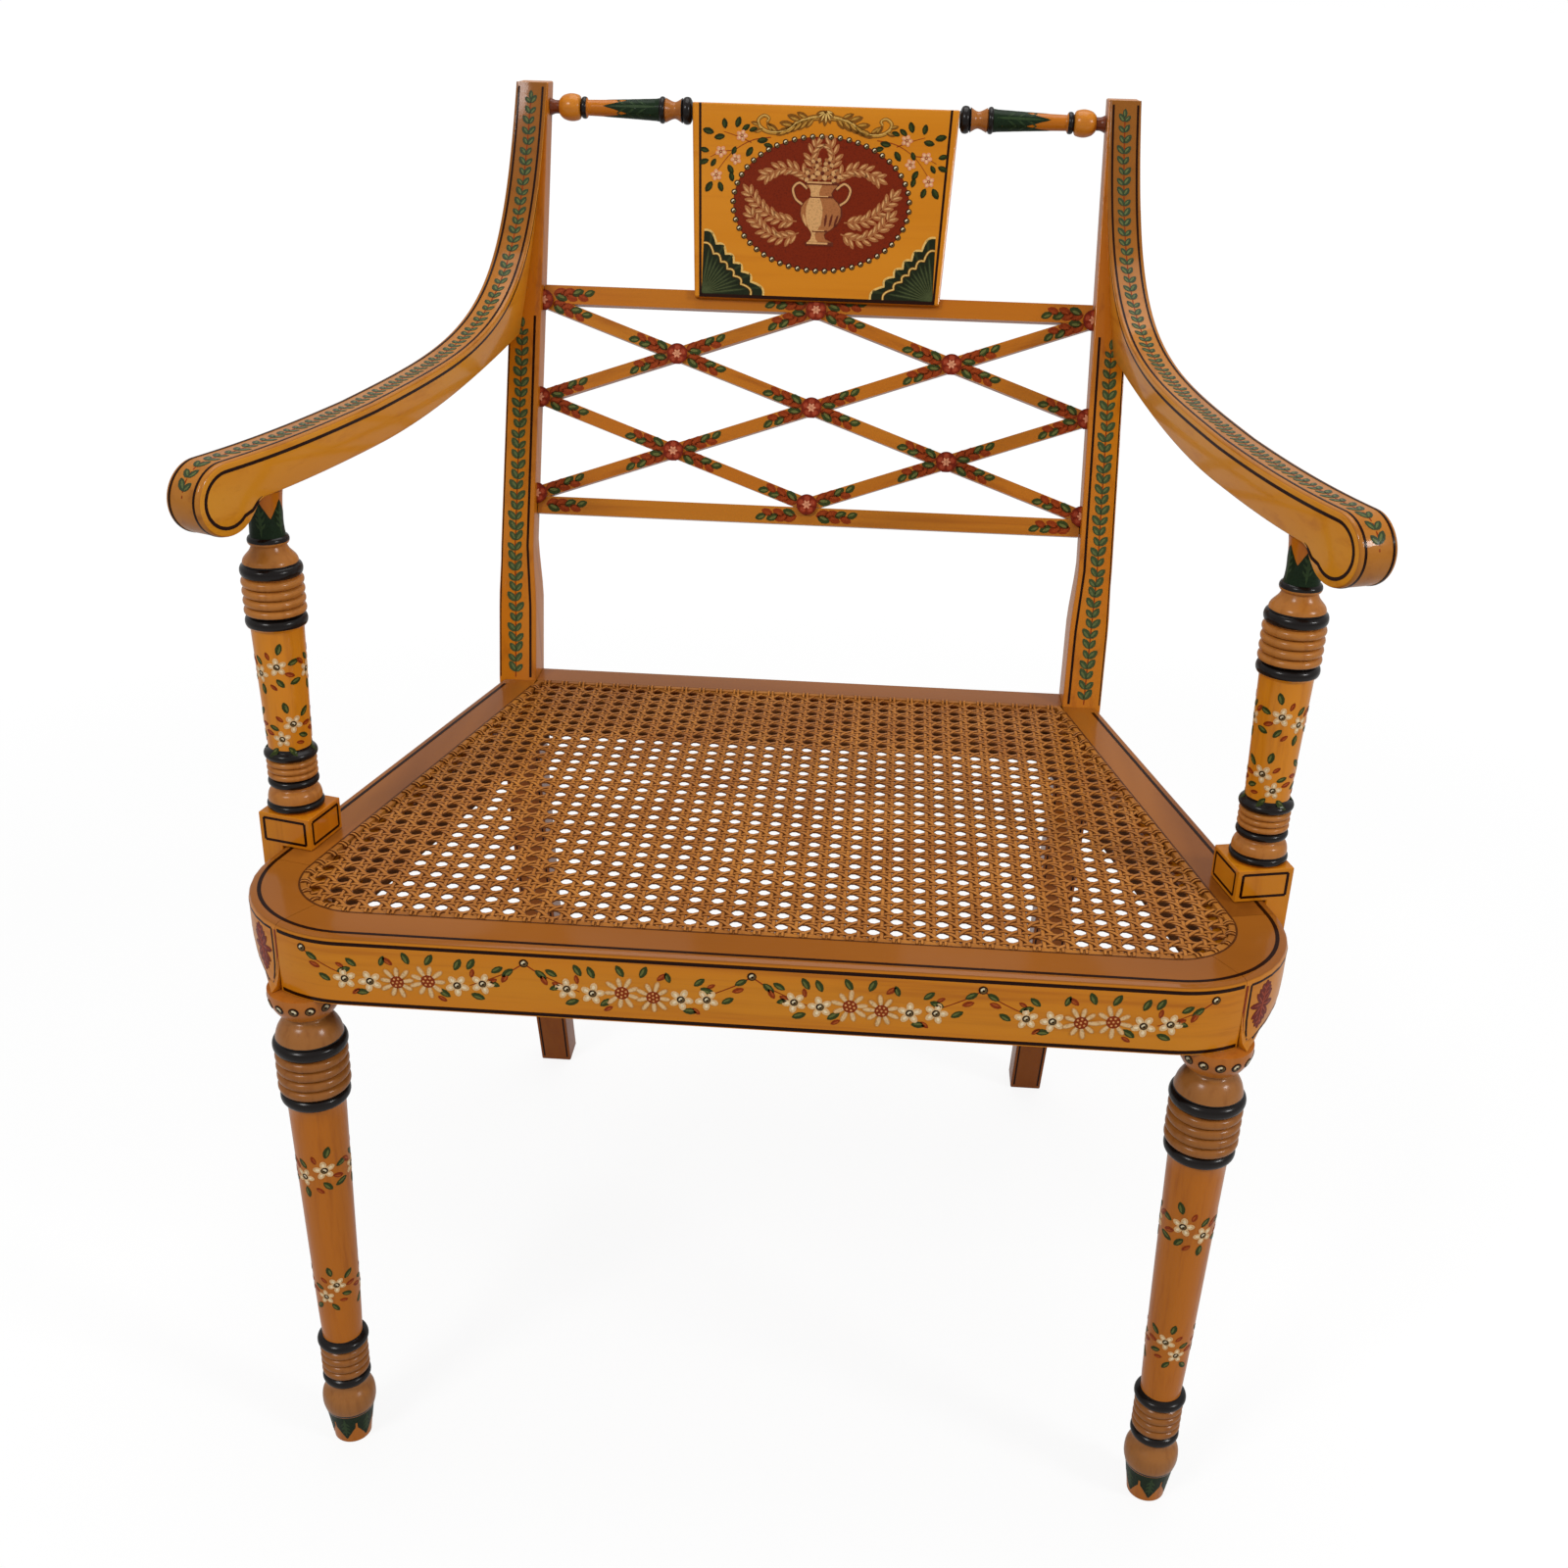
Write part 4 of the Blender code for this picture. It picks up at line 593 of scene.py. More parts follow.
spindle = lathe("crest_spindle_right_turning", spindle_profile)
put(spindle, spindle_place)
spindles = pair(spindle, "crest_spindle_left_turning")
print("a spindle has", len(spindle.data.polygons), "faces")

# %% [markdown]
# ## Painted turnings
# The turner's work is stained in bands: golden shafts, browner reeds and domes, and glossy black rings.
# The bands follow the height on the leg, or the length of the spindle, so a ramp with hard steps reads
# that coordinate, and a little noise keeps the brush's edge from being too true.

# %% Painted turnings
BLACK = colour(20, 14, 12)
SHAFT, REED, DOME, CUP = colour(186, 105, 12), colour(154, 95, 40), colour(160, 103, 50), colour(182, 106, 34)
SUPPORT_SHAFT, SUPPORT_REED = colour(216, 134, 26), colour(180, 114, 48)
BALL, REEL, NECK = colour(202, 124, 34), colour(164, 98, 36), colour(112, 50, 14)


def banded(name, axis, top, bands):
    """Bands of stain along an axis: each row is where a band starts, and its colour."""
    material, shader, place = start(name, coat=0.40, coat_roughness=0.2)
    way = place.axis(axis).size()
    wobble = place.noise(160.0, 2.0) * 0.0005 - 0.00025
    stain = (way + wobble) * (1 / top)
    stain = stain.make("ValToRGB", {"stops": [(low / top, tint) for low, tint in bands]}, {"Fac": stain})
    fibres = place.stretched((260, 260, 26) if axis == "Z" else (26, 260, 260)).noise(1.0, 4.0)
    darker = stain.deepened((0.72, 0.62, 0.52, 1))
    feed(shader, base_color=(fibres.rise(0.45, 0.8) * 0.7).mix(stain, darker), roughness=fibres * 0.1 + 0.24)
    bumped(shader, fibres, 0.08, 0.0003)
    return material


def counted(base, *bands):
    """Bands whose starts are counted from a base."""
    return [(base + low, tint) for low, tint in bands]


LEG_BANDS = [(0, SHAFT), (0.0236, BLACK), (0.0258, DOME), (0.0466, BLACK), (0.0535, REED), (0.0757, BLACK),
             (0.0828, SHAFT)]
LEG_BANDS += counted(LEG_TOP, (-0.0755, BLACK), (-0.0674, REED), (-0.0410, BLACK), (-0.0326, DOME),
                     (-0.0184, BLACK), (-0.0172, CUP))
SUPPORT_BANDS = [(0, SHAFT)]
SUPPORT_BANDS += counted(BLOCK_TOP, (-0.001, BLACK), (0.0051, SUPPORT_REED), (0.0146, BLACK),
                         (0.0200, SUPPORT_REED), (0.0322, BLACK), (0.0381, SUPPORT_SHAFT))
SUPPORT_BANDS += counted(SUPPORT_TOP, (-0.0785, BLACK), (-0.0712, SUPPORT_REED), (-0.0486, BLACK),
                         (-0.0414, SUPPORT_REED), (-0.0307, BLACK), (-0.0252, SHAFT))
SPINDLE_BANDS = [(0, BLACK)]
SPINDLE_BANDS += counted(SPINDLE_START - SPINDLE_END, (0.0074, REEL), (0.0197, BLACK), (0.0243, SHAFT))
SPINDLE_BANDS += counted(SPINDLE_START, (-0.0271, BLACK), (-0.0221, BALL), (-0.0066, NECK))
stained_leg = banded("stained_leg", "Z", 0.35, LEG_BANDS)
stained_support = banded("stained_support", "Z", 0.62, SUPPORT_BANDS)
stained_spindle = banded("stained_spindle", "X", 0.22, SPINDLE_BANDS)
wood_block = satinwood("satinwood_block", UPRIGHT, colour(198, 115, 14))
for side, sign in SIDES:
    hand_in(legs[side], stained_leg, "turned_wood", "front_leg_" + side)
    hand_in(supports[side], stained_support, "turned_wood", "arm_support_" + side)
    hand_in(blocks[side], wood_block, "turned_wood")
    hand_in(spindles[side], stained_spindle, "turned_wood", "crest_spindle_" + side)
print("turnings stained")

# %% [markdown]
# ## Strands of cane
# The seat is woven of split cane. A strand is a flat ribbon that rises over what it crosses and dips
# under the next. Strands end at the frame's rounded opening, each at its own length, so they are laid
# point by point and then given thickness.

# %% Strands of cane
STRAND_THICKNESS = 0.0009
FRONT_Y = -0.27315
CORNER_X, CORNER_Y = 0.2245, -0.20415
CANE_FRONT, CANE_BACK, CANE_EDGE = FRONT_Y + 0.028, 0.10835, 0.0030
CANE_RADIUS, CANE_ANGLE = 0.041, 1.806074


def cane_half_width(y):
    """Half the width of the opening at a place from front to back."""
    radius = CANE_RADIUS - CANE_EDGE
    bend_x, bend_y = CORNER_X + radius * sin(CANE_ANGLE), CORNER_Y - radius * cos(CANE_ANGLE)
    if y >= bend_y:
        return bend_x + (y - bend_y) * cos(CANE_ANGLE) / sin(CANE_ANGLE)
    return CORNER_X + sqrt(max(0.0, radius ** 2 - (CORNER_Y - y) ** 2))


def in_opening(x, y):
    return CANE_FRONT + CANE_EDGE <= y <= CANE_BACK - CANE_EDGE and abs(x) <= cane_half_width(y)


class Strands:
    """Ribbons of cane, gathered into one mesh."""

    def __init__(self, width):
        self.width = width
        self.points = []
        self.faces = []
        self.marks = []

    def lay(self, line, across):
        """Lay one ribbon along points, with its width along a level direction."""
        first = len(self.points)
        side = Vector((*across, 0)) * self.width / 2
        tone = 0.5 + 0.5 * sin(12.9 * first)
        # Each point is marked with its side, -1 or 1, so that the edges can be painted darker as shade, and
        # with the strand's own tone.
        for p in line:
            self.points += [Vector(p) - side, Vector(p) + side]
            self.marks += [(-1, tone, 0), (1, tone, 0)]
        self.faces += [(k, k + 1, k + 3, k + 2) for k in range(first, len(self.points) - 2, 2)]

    def lay_inside(self, line, across):
        """Lay the stretches of a line that are inside the opening."""
        run = []
        for p in line:
            if in_opening(p[0], p[1]):
                run.append(p)
                continue
            if len(run) > 1:
                self.lay(run, across)
            run = []
        if len(run) > 1:
            self.lay(run, across)

    def finish(self, name):
        piece = new_piece(name, self.points, (), self.faces)
        marks = piece.data.attributes.new("strand", "FLOAT_VECTOR", "POINT")
        for k, mark in enumerate(self.marks):
            marks.data[k].vector = mark
        thick = piece.modifiers.new("Thickness", "SOLIDIFY")
        thick.thickness = STRAND_THICKNESS
        thick.offset = 0
        bpy.ops.object.modifier_apply(modifier=thick.name)
        edit(face_out)
        return piece


print("opening", round(2000 * cane_half_width(CORNER_Y)), "mm wide at the front")

# %% [markdown]
# ## Weaving
# Cane is woven in six ways: pairs of strands from front to back, pairs across, and two sets of diagonals
# that cut the corners of each square, so that its eye becomes an octagon. Eyes are half an inch apart.

# %% Weaving
CANE_PITCH, PAIR_HALF = 0.0127, 0.00175
STRAND_WIDTH, DIAGONAL_WIDTH = 0.0023, 0.0024
CANE_LEVEL, DIP, RIDE = 0.3764, 0.00034, 0.00060
EYE_COLUMNS, EYE_ROWS = 41, 28
FIRST_ROW = CANE_FRONT + CANE_EDGE + 0.0040
lines_x = [(k - EYE_COLUMNS / 2) * CANE_PITCH for k in range(EYE_COLUMNS + 1)]
lines_y = [FIRST_ROW + k * CANE_PITCH for k in range(EYE_ROWS + 1)]


def weave_steps(lines):
    """Where a strand meets each pair across it, and the dip there: down, up, and level between."""
    steps = [(lines[0] - CANE_PITCH / 3, 0.0)]
    for line in lines:
        steps += [(line - PAIR_HALF, -DIP), (line + PAIR_HALF, DIP), (line + CANE_PITCH / 2, 0.0)]
    return steps + [(lines[-1] + CANE_PITCH / 3, 0.0)]


uprights, crossways, diagonals = Strands(STRAND_WIDTH), Strands(STRAND_WIDTH), Strands(DIAGONAL_WIDTH)
steps_x, steps_y = weave_steps(lines_x), weave_steps(lines_y)
for x in lines_x:
    for half, lift in ((-PAIR_HALF, 1), (PAIR_HALF, -1)):
        uprights.lay_inside([(x + half, y, CANE_LEVEL + dip * lift) for y, dip in steps_y], (1, 0))
for y in lines_y:
    for half, lift in ((-PAIR_HALF, -1), (PAIR_HALF, 1)):
        crossways.lay_inside([(x, y + half, CANE_LEVEL + dip * lift) for x, dip in steps_x], (0, 1))
quarter = CANE_PITCH / 4
for slant in (-1, 1):
    for start_line in range(-EYE_ROWS - 1, EYE_COLUMNS + EYE_ROWS + 1):
        line = []
        for k in range(EYE_ROWS * 4 + 4):
            x = slant * (lines_x[0] + start_line * CANE_PITCH + k * quarter)
            y = lines_y[0] - CANE_PITCH / 2 + k * quarter
            line.append((x, y, CANE_LEVEL + RIDE * slant * cos(pi * (k / 2 + 1))))
        diagonals.lay_inside(line, (slant / sqrt(2), -1 / sqrt(2)))
weave = [uprights.finish("cane_uprights"), crossways.finish("cane_crossways"),
         diagonals.finish("cane_diagonals")]
print("strands of cane:", [len(piece.data.polygons) for piece in weave], "faces")

# %% [markdown]
# ## Binding the edge
# The edge of the cane is bound: at every hole a strand comes up, loops over the binder strip and goes
# down again. Each loop is a pair of short arched ribbons, laid at equal distances round the opening.

# %% Binding the edge
CANE_SIDE = 0.2995
LOOP_WIDTH, LOOP_HALF = 0.0017, 0.0014
binder_top = max(v.co.z for v in nodes["cane_spline"].data.vertices)
cane_bend = CORNER_X + CANE_RADIUS * CANE_ANGLE
LOOP = ((0.0058, CANE_LEVEL + 0.0005), (0.0044, binder_top + 0.0002), (0.0030, binder_top + 0.0007),
        (0.0016, binder_top + 0.0006), (0.0008, binder_top + 0.0001))


def cane_rim(u, inset):
    """A distance along the opening from the middle of its front, and a distance inside it."""
    reach, sign = abs(u), -1 if u < 0 else 1
    if reach <= CORNER_X:
        return Vector((u, CANE_FRONT + inset))
    angle = min((reach - CORNER_X) / CANE_RADIUS, CANE_ANGLE)
    past = max(0.0, reach - cane_bend)
    x = CORNER_X + (CANE_RADIUS - inset) * sin(angle) + past * cos(CANE_ANGLE)
    y = CORNER_Y - (CANE_RADIUS - inset) * cos(angle) + past * sin(CANE_ANGLE)
    return Vector((sign * x, y))


loops = Strands(LOOP_WIDTH)
count = int((cane_bend + CANE_SIDE) / CANE_PITCH)
for k in range(-count, count + 1):
    for half in (-LOOP_HALF, LOOP_HALF):
        u = k * CANE_PITCH + half
        along_rim = (cane_rim(u + 0.0005, 0.003) - cane_rim(u - 0.0005, 0.003)).normalized()
        loops.lay([(*cane_rim(u, inset), z) for inset, z in LOOP], along_rim)
for x in [x for x in lines_x if abs(x) < cane_half_width(CANE_BACK - CANE_EDGE)]:
    for half in (-LOOP_HALF, LOOP_HALF):
        loops.lay([(x + half, CANE_BACK - inset, z) for inset, z in LOOP], (1, 0))
binding = loops.finish("cane_binding")
print("loops:", len(loops.faces) // 4, "round the edge, binder top at", round(binder_top, 4))

# %% [markdown]
# ## The look of cane
# Split cane keeps its shiny bark. It is tan to orange, with darker lengths here and there, and each strand
# is darker along its edges, partly its own colour and partly painted shade between the strands. The same
# finish, a little darker, goes on the strip that wedges the edge.

# %% Cane finish
def caned(name, pale, dark, stranded=True):
    material, shader, place = start(name, roughness=0.42, coat=0.1)
    patches = place.noise(26.0, 3.0)
    flecks = place.noise(420.0, 3.0)
    tint = patches.rise(0.25, 0.80).mix(pale, dark)
    tint = (flecks.rise(0.55, 0.8) * 0.6).mix(tint, colour(112, 62, 28))
    if stranded:
        strand = place.make("Attribute", {"attribute_name": "strand"}, None, "Vector")
        tint = (strand.axis("Y") * 0.4).mix(tint, dark)
        # The edges of each strand are darkened: partly the cane's own colour, partly painted shade between
        # strands.
        tint = (strand.axis("X").size().rise(0.50, 0.95) * 0.85).mix(tint, colour(92, 46, 18))
    feed(shader, base_color=tint, roughness=flecks * 0.2 + 0.32)
    bumped(shader, flecks, 0.15, 0.0003)
    return material


cane = caned("split_cane", colour(190, 124, 54), colour(160, 98, 40))
binder = caned("cane_binder", colour(178, 114, 46), colour(140, 82, 32), False)
for piece in weave:
    hand_in(piece, cane, "cane", "cane_panel")
wear(nodes["cane_spline"], binder)
hand_in(binding, cane, "cane")
print("cane finished")

# %% [markdown]
# ## Eased curves
# The corners of the seat and the posts are curved, but a solid's mesh is shaded flat. A copy with its
# doubles merged can be shaded smooth where the faces meet at a small angle, and weighted normals keep the
# flats flat. The copy stands for the solid and wears the same wood. Inside the seat frame and under its
# rails, the wood is left unpolished and painted dark brown as shade under the seat.

# %% Eased curves
def eased(name):
    """A copy of a solid whose curves are shaded smooth."""
    node = nodes[name]
    piece = bpy.data.objects.new(name + "_wood", node.data.copy())
    bpy.context.scene.collection.objects.link(piece)
    only(piece)
    edit(merge)
    bpy.ops.object.shade_smooth()
    split = piece.modifiers.new("Edges", "EDGE_SPLIT")
    split.split_angle = radians(35)
    weighted = piece.modifiers.new("Flats", "WEIGHTED_NORMAL")
    for step in (split, weighted):
        bpy.ops.object.modifier_apply(modifier=step.name)
    hand_in(piece, node.material_slots[0].material, "satinwood", name)
    return piece


CURVED = ["front_seat_rail", "back_seat_rail"]
for side, sign in SIDES:
    CURVED += [name + side for name in ("front_corner_block_", "rear_post_", "side_seat_rail_")]
woods = {name: eased(name) for name in CURVED}
bpy.context.view_layer.update()
SEAT_MIDDLE = Vector((0, -0.07, SEAT_TOP))
# Painted shade: the inner faces and undersides of the seat rails are dark brown.
inside, inside_shader, place = start("unpolished_wood_painted_shade", roughness=0.8)
inside_shade_mottle = place.stretched((30, 30, 90)).noise(1.0, 4.0)
feed(inside_shader, base_color=inside_shade_mottle.rise(0.35, 0.7).mix(colour(104, 62, 28), colour(82, 46, 20)))
for name, piece in woods.items():
    if "seat" not in name:
        continue
    piece.data.materials.append(inside)
    for face in piece.data.polygons:
        way_in = SEAT_MIDDLE - face.center
        way_in.z = 0
        if face.normal.dot(way_in.normalized()) > 0.5 or face.normal.z < -0.9:
            face.material_index = 1
print(len(woods), "pieces eased")

# %% [markdown]
# ## Brushes
# All the ornament is painted by hand, in quick strokes: leaves, petals, dots and lines. Each stroke is a
# small flat shape. It is modelled once from a filled circle whose rim is moved, and copied wherever the
# painter laid it.

# %% Brushes
def drawn(count, shape, cuts=0):
    """One brush stroke: a filled circle with its points moved by a rule."""
    bpy.ops.mesh.primitive_circle_add(vertices=count, radius=1, fill_type="TRIFAN")
    circle = bpy.context.object
    if cuts:
        edit(lambda: bpy.ops.mesh.subdivide(number_cuts=cuts))
    flat = [shape(v.co.x, v.co.y) for v in circle.data.vertices]
    faces = [tuple(p.vertices) for p in circle.data.polygons]
    bpy.data.objects.remove(circle, do_unlink=True)
    return flat, faces


def leaf_shape(x, y):
    """Pointed at both ends, from 0 to 1 along."""
    return (x + 1) / 2, (0.5 if y > 0 else -0.5) * abs(y) ** 1.5


def petal_shape(x, y):
    """Narrow at the root and round at the tip."""
    along = (x + 1) / 2
    return along, y * (0.22 + 0.30 * along)


def blade_shape(x, y):
    """Broad at the root and pointed at the tip."""
    return (x + 1) / 2, y * (0.66 - 0.25 * x) * (0.5 if x < 0 else 0.5 * (1 - 0.55 * x))


LEAF = drawn(10, leaf_shape)
PETAL = drawn(10, petal_shape)
BLADE = drawn(12, blade_shape, 3)
DOT, DISC = (drawn(count, lambda x, y: (x, y)) for count in (12, 48))
print("strokes:", [len(faces) for flat, faces in (LEAF, PETAL, BLADE, DOT, DISC)], "faces each")

# %% [markdown]
# ## Paint
# A surface is a function from two distances on the wood, and a lift off it, to a place in the room, so a
# stroke can follow a flat rail, a round leg or a curved arm. A painting gathers the strokes on one surface.
# Each has its layer, so that later touches lie over earlier ones, and a colour for each of its faces.

# %% Paint
INK = colour(34, 8, 0)
GREEN, GREEN_LIGHT, GREEN_DARK = colour(54, 64, 26), colour(102, 106, 54), colour(36, 42, 12)
RUST, RUST_LIGHT = colour(138, 52, 12), colour(172, 82, 30)
CREAM, CREAM_SHADE, WHITE = colour(224, 186, 134), colour(204, 152, 92), colour(242, 220, 182)
EYE_LIGHT = colour(226, 160, 96)
RED = colour(138, 44, 16)
PEARL_SHADE, PEARL_LIGHT = colour(100, 78, 44), colour(232, 218, 182)
MAROON, MAROON_LIGHT, PINK = colour(112, 32, 14), colour(162, 68, 42), colour(218, 148, 112)
GOLD, GOLD_LIGHT, GOLD_SHADE = colour(178, 130, 52), colour(218, 178, 100), colour(122, 76, 20)
MM = 0.001
PAINT_LIFT, PAINT_LAYER, PAINT_THICKNESS = 0.00012, 0.00005, 0.00020
DAISY_PETALS = 9


def away(at, angle, reach):
    """The place this far from another, in a direction."""
    return at[0] + cos(angle) * reach, at[1] + sin(angle) * reach


def heading(a, b):
    """The direction from one place to another."""
    return atan2(b[1] - a[1], b[0] - a[0])


def between(a, b, share):
    return a[0] + (b[0] - a[0]) * share, a[1] + (b[1] - a[1]) * share


class Painting:
    """Strokes of paint on one surface, gathered into one thin mesh."""

    def __init__(self, surface):
        self.surface = surface
        self.points = []
        self.faces = []
        self.tints = []

    def add(self, flat, faces, tint, layer):
        """Lay flat points on the surface, with the faces between them turned outwards."""
        first = len(self.points)
        lift = PAINT_LIFT + PAINT_LAYER * layer
        self.points += [self.surface(u, v, lift) for u, v in flat]
        a, b, c = (self.points[first + k] for k in tuple(faces[0])[:3])
        outwards = self.surface(*flat[faces[0][0]], lift + MM) - a
        turned_in = (b - a).cross(c - b).dot(outwards) < 0
        for face in faces:
            corners = [first + k for k in face]
            self.faces.append(corners[::-1] if turned_in else corners)
        self.tints += [tint] * len(faces)

    def stroke(self, pattern, at, turn, length, width, tint, layer=0):
        """Copy a stroke to a place, turned and sized."""
        c, s = cos(turn), sin(turn)
        flat = [(at[0] + x * length * c - y * width * s, at[1] + x * length * s + y * width * c)
                for x, y in pattern[0]]
        self.add(flat, pattern[1], tint, layer)

    def dot(self, at, radius, tint, layer=0, pattern=DOT):
        self.stroke(pattern, at, 0, radius, radius, tint, layer)

    def petals(self, pattern, at, count, turn, reach, length, width, tint, layer):
        """A ring of equal strokes that point away from a middle."""
        for k in range(count):
            angle = turn + 2 * pi * k / count
            self.stroke(pattern, away(at, angle, reach), angle, length, width, tint, layer)

    def line(self, path, width, tint, layer=0, end_width=None):
        """A line of paint along a path, which may taper."""
        last = len(path) - 1
        change = 0 if end_width is None else end_width - width
        flat = []
        for k, at in enumerate(path):
            square = heading(path[max(0, k - 1)], path[min(last, k + 1)]) - pi / 2
            half = (width + change * k / last) / 2
            flat += [away(at, square, half), away(at, square, -half)]
        self.add(flat, [(2 * k, 2 * k + 2, 2 * k + 3, 2 * k + 1) for k in range(last)], tint, layer)

    def straight(self, a, b, width, tint, layer=0, step=0.003):
        """A straight line in short lengths, so that it can follow a curved surface."""
        shares = spaced(0, 1, max(1, ceil(dist(a, b) / step)))
        self.line([between(a, b, t) for t in shares], width, tint, layer)

    def leaf(self, at, turn, length, tint=GREEN, light=GREEN_LIGHT, layer=1, plump=0.5):
        """A leaf of two strokes: the body, and a lighter touch along one half."""
        self.stroke(LEAF, at, turn, length, length * plump, tint, layer)
        inset = away(away(at, turn, length * 0.15), turn + pi / 2, length * 0.06)
        self.stroke(LEAF, inset, turn, length * 0.62, length * plump * 0.34, light, layer + 1)

    def rust_leaf(self, at, turn, length):
        self.leaf(at, turn, length, RUST, RUST_LIGHT, plump=0.48)

    def pearl(self, at, radius, layer=3):
        """A painted pearl: a dark ring, a grey-gold body, a spot of light and a dark heart."""
        self.dot(at, radius, INK, layer)
        self.dot((at[0] + radius * 0.08, at[1] - radius * 0.05), radius * 0.74, PEARL_SHADE, layer + 1)
        self.stroke(DOT, (at[0] - radius * 0.12, at[1] + radius * 0.18), 0.7, radius * 0.52, radius * 0.30,
                    PEARL_LIGHT, layer + 2)
        self.dot((at[0] + radius * 0.10, at[1] - radius * 0.12), radius * 0.26, INK, layer + 3)

    def blossom(self, at, radius, turn):
        """A small flower of five petals, with a pearl for its eye."""
        self.petals(DOT, at, 5, turn, radius * 0.58, radius * 0.42, radius * 0.29, CREAM, 2)
        self.petals(DOT, at, 5, turn, radius * 0.58, radius * 0.18, radius * 0.12, WHITE, 3)
        self.pearl(at, radius * 0.33, 3)

    def daisy(self, at, radius, turn, layer):
        """A large daisy with long cream petals and a rust eye full of light dots."""
        for k in range(DAISY_PETALS):
            angle = turn + 2 * pi * k / DAISY_PETALS
            length = radius * (0.80 + 0.10 * (k % 2))
            root = away(at, angle, radius * 0.18)
            self.stroke(PETAL, root, angle, length, radius * 0.38, CREAM_SHADE, layer)
            self.stroke(PETAL, root, angle, length * 0.94, radius * 0.25, CREAM, layer + 1)
        self.dot(at, radius * 0.40, RUST, layer + 2)
        self.dot(at, radius * 0.060, EYE_LIGHT, layer + 3)
        for k in range(6):
            self.dot(away(at, turn + 2 * pi * k / 6, radius * 0.24), radius * 0.060, EYE_LIGHT, layer + 3)

    def finish(self, name):
        """Make the mesh, keep the colour of each face, and give the paint its thickness."""
        piece = new_piece(name, self.points, (), self.faces)
        tints = piece.data.attributes.new("paint", "FLOAT_COLOR", "FACE")
        for k, tint in enumerate(self.tints):
            tints.data[k].color = tint
        thick = piece.modifiers.new("Thickness", "SOLIDIFY")
        thick.thickness = PAINT_THICKNESS
        thick.offset = -1
        bpy.ops.object.modifier_apply(modifier=thick.name)
        bpy.ops.object.shade_smooth_by_angle(angle=SMOOTH_ANGLE)
        return piece


print("paint lies", round(PAINT_LIFT / MM, 2), "mm off the wood")

# %% [markdown]
# ## Varnish
# One material serves all the paint: oil colour under thin varnish. It reads the colour of each face, and a
# fine noise makes it a little uneven. What is painted on the right is mirrored on the left.

# %% Varnish
paint, paint_shader, place = start("painted_ornament", coat=0.10)
tint = place.make("Attribute", {"attribute_name": "paint"}, None, "Color")
uneven = place.noise(900.0, 3.0)
deeper = tint.deepened((0.62, 0.60, 0.58, 1))
feed(paint_shader, base_color=uneven.rise(0.45, 0.75).mix(tint, deeper), roughness=uneven * 0.15 + 0.28)
bumped(paint_shader, uneven, 0.1, 0.0002)


def show(work, name):
    """Finish a painting and give it the paint."""
    hand_in(work.finish(name), paint, "painted_decoration")


def show_both(work, name):
    """Finish the right-hand painting and a mirrored copy of it for the left, both in the paint."""
    for piece in pair(work.finish(name + "_right"), name + "_left").values():
        hand_in(piece, paint, "painted_decoration")


print("varnish ready")

# %% [markdown]
# ## Front rail
# The face of the seat frame is flat in front and turns round a quarter circle at each end. So a distance
# along it becomes a place on the flat, on the arc, or on the side.

# %% Front rail
CORNER_RADIUS = 0.069
FILLET_ANGLE = radians(33)
RAIL_BOTTOM = 0.3355
FILLET = CORNER_X + CORNER_RADIUS * FILLET_ANGLE
CORNER_END = CORNER_X + CORNER_RADIUS * SIDE_ANGLE


def front_face(u, v, lift):
    """A distance from the middle along the rail, and a height."""
    reach, sign = abs(u), -1 if u < 0 else 1
    if reach <= CORNER_X:
        return Vector((u, FRONT_Y - lift, v))
    angle = min((reach - CORNER_X) / CORNER_RADIUS, SIDE_ANGLE)
    past = max(0.0, reach - CORNER_END)
    x = CORNER_X + (CORNER_RADIUS + lift) * sin(angle) + past * cos(SIDE_ANGLE)
    y = CORNER_Y - (CORNER_RADIUS + lift) * cos(angle) + past * sin(SIDE_ANGLE)
    return Vector((sign * x, y, v))


print("the front is flat for", round(2000 * CORNER_X), "mm")

# %% [markdown]
# ## Swags
# The front rail carries four swags of flowers between five painted pearls, framed by black lines above and
# below. One swag is drawn and used four times, with each flower turned a little differently.

# %% Swags
PEARL_SPACING, PEARL_HEIGHT, PEARL_RADIUS = 0.1230, 0.3690, 0.0025
LINE_HEIGHTS, LINE_THICK = (0.3742, RAIL_BOTTOM + 0.0017), 0.0021
SWAG_LEAVES = ((6, 365, -40, 6.5), (18, 362, 150, 6.0), (20, 356, -160, 5.5), (22, 345, 20, 6.5),
               (31, 363, 120, 6.5), (38, 362, 115, 6.5), (41, 345, 35, 6.5), (54, 364, 120, 6.5),
               (63, 364, 65, 6.5), (79, 362, 110, 5.5), (86, 345, 0, 6.5), (92, 361, 40, 6.0),
               (103, 357, 160, 6.5), (107, 351, 30, 6.0), (114, 363, 30, 6.0))
SWAG_RUST = ((9, 362, -60, 6.0), (15, 358, -30, 5.5), (29, 358, 100, 5.0), (48, 345, -150, 5.0),
             (72, 363, 40, 6.0), (91, 347, -40, 5.0), (99, 360, 30, 4.5), (119, 361, 200, 6.0))
SWAG_BLOSSOMS = ((23, 354.5, 6.6), (37, 352.5, 6.8), (85, 352.0, 6.8), (99, 352.8, 6.6))
SWAG_DAISIES = ((53, 354.0, 10.0), (70, 352.5, 9.6))


def side_turn(sign, degrees):
    """A direction as drawn, or mirrored when the sign is -1."""
    return radians(degrees) if sign > 0 else pi - radians(degrees)


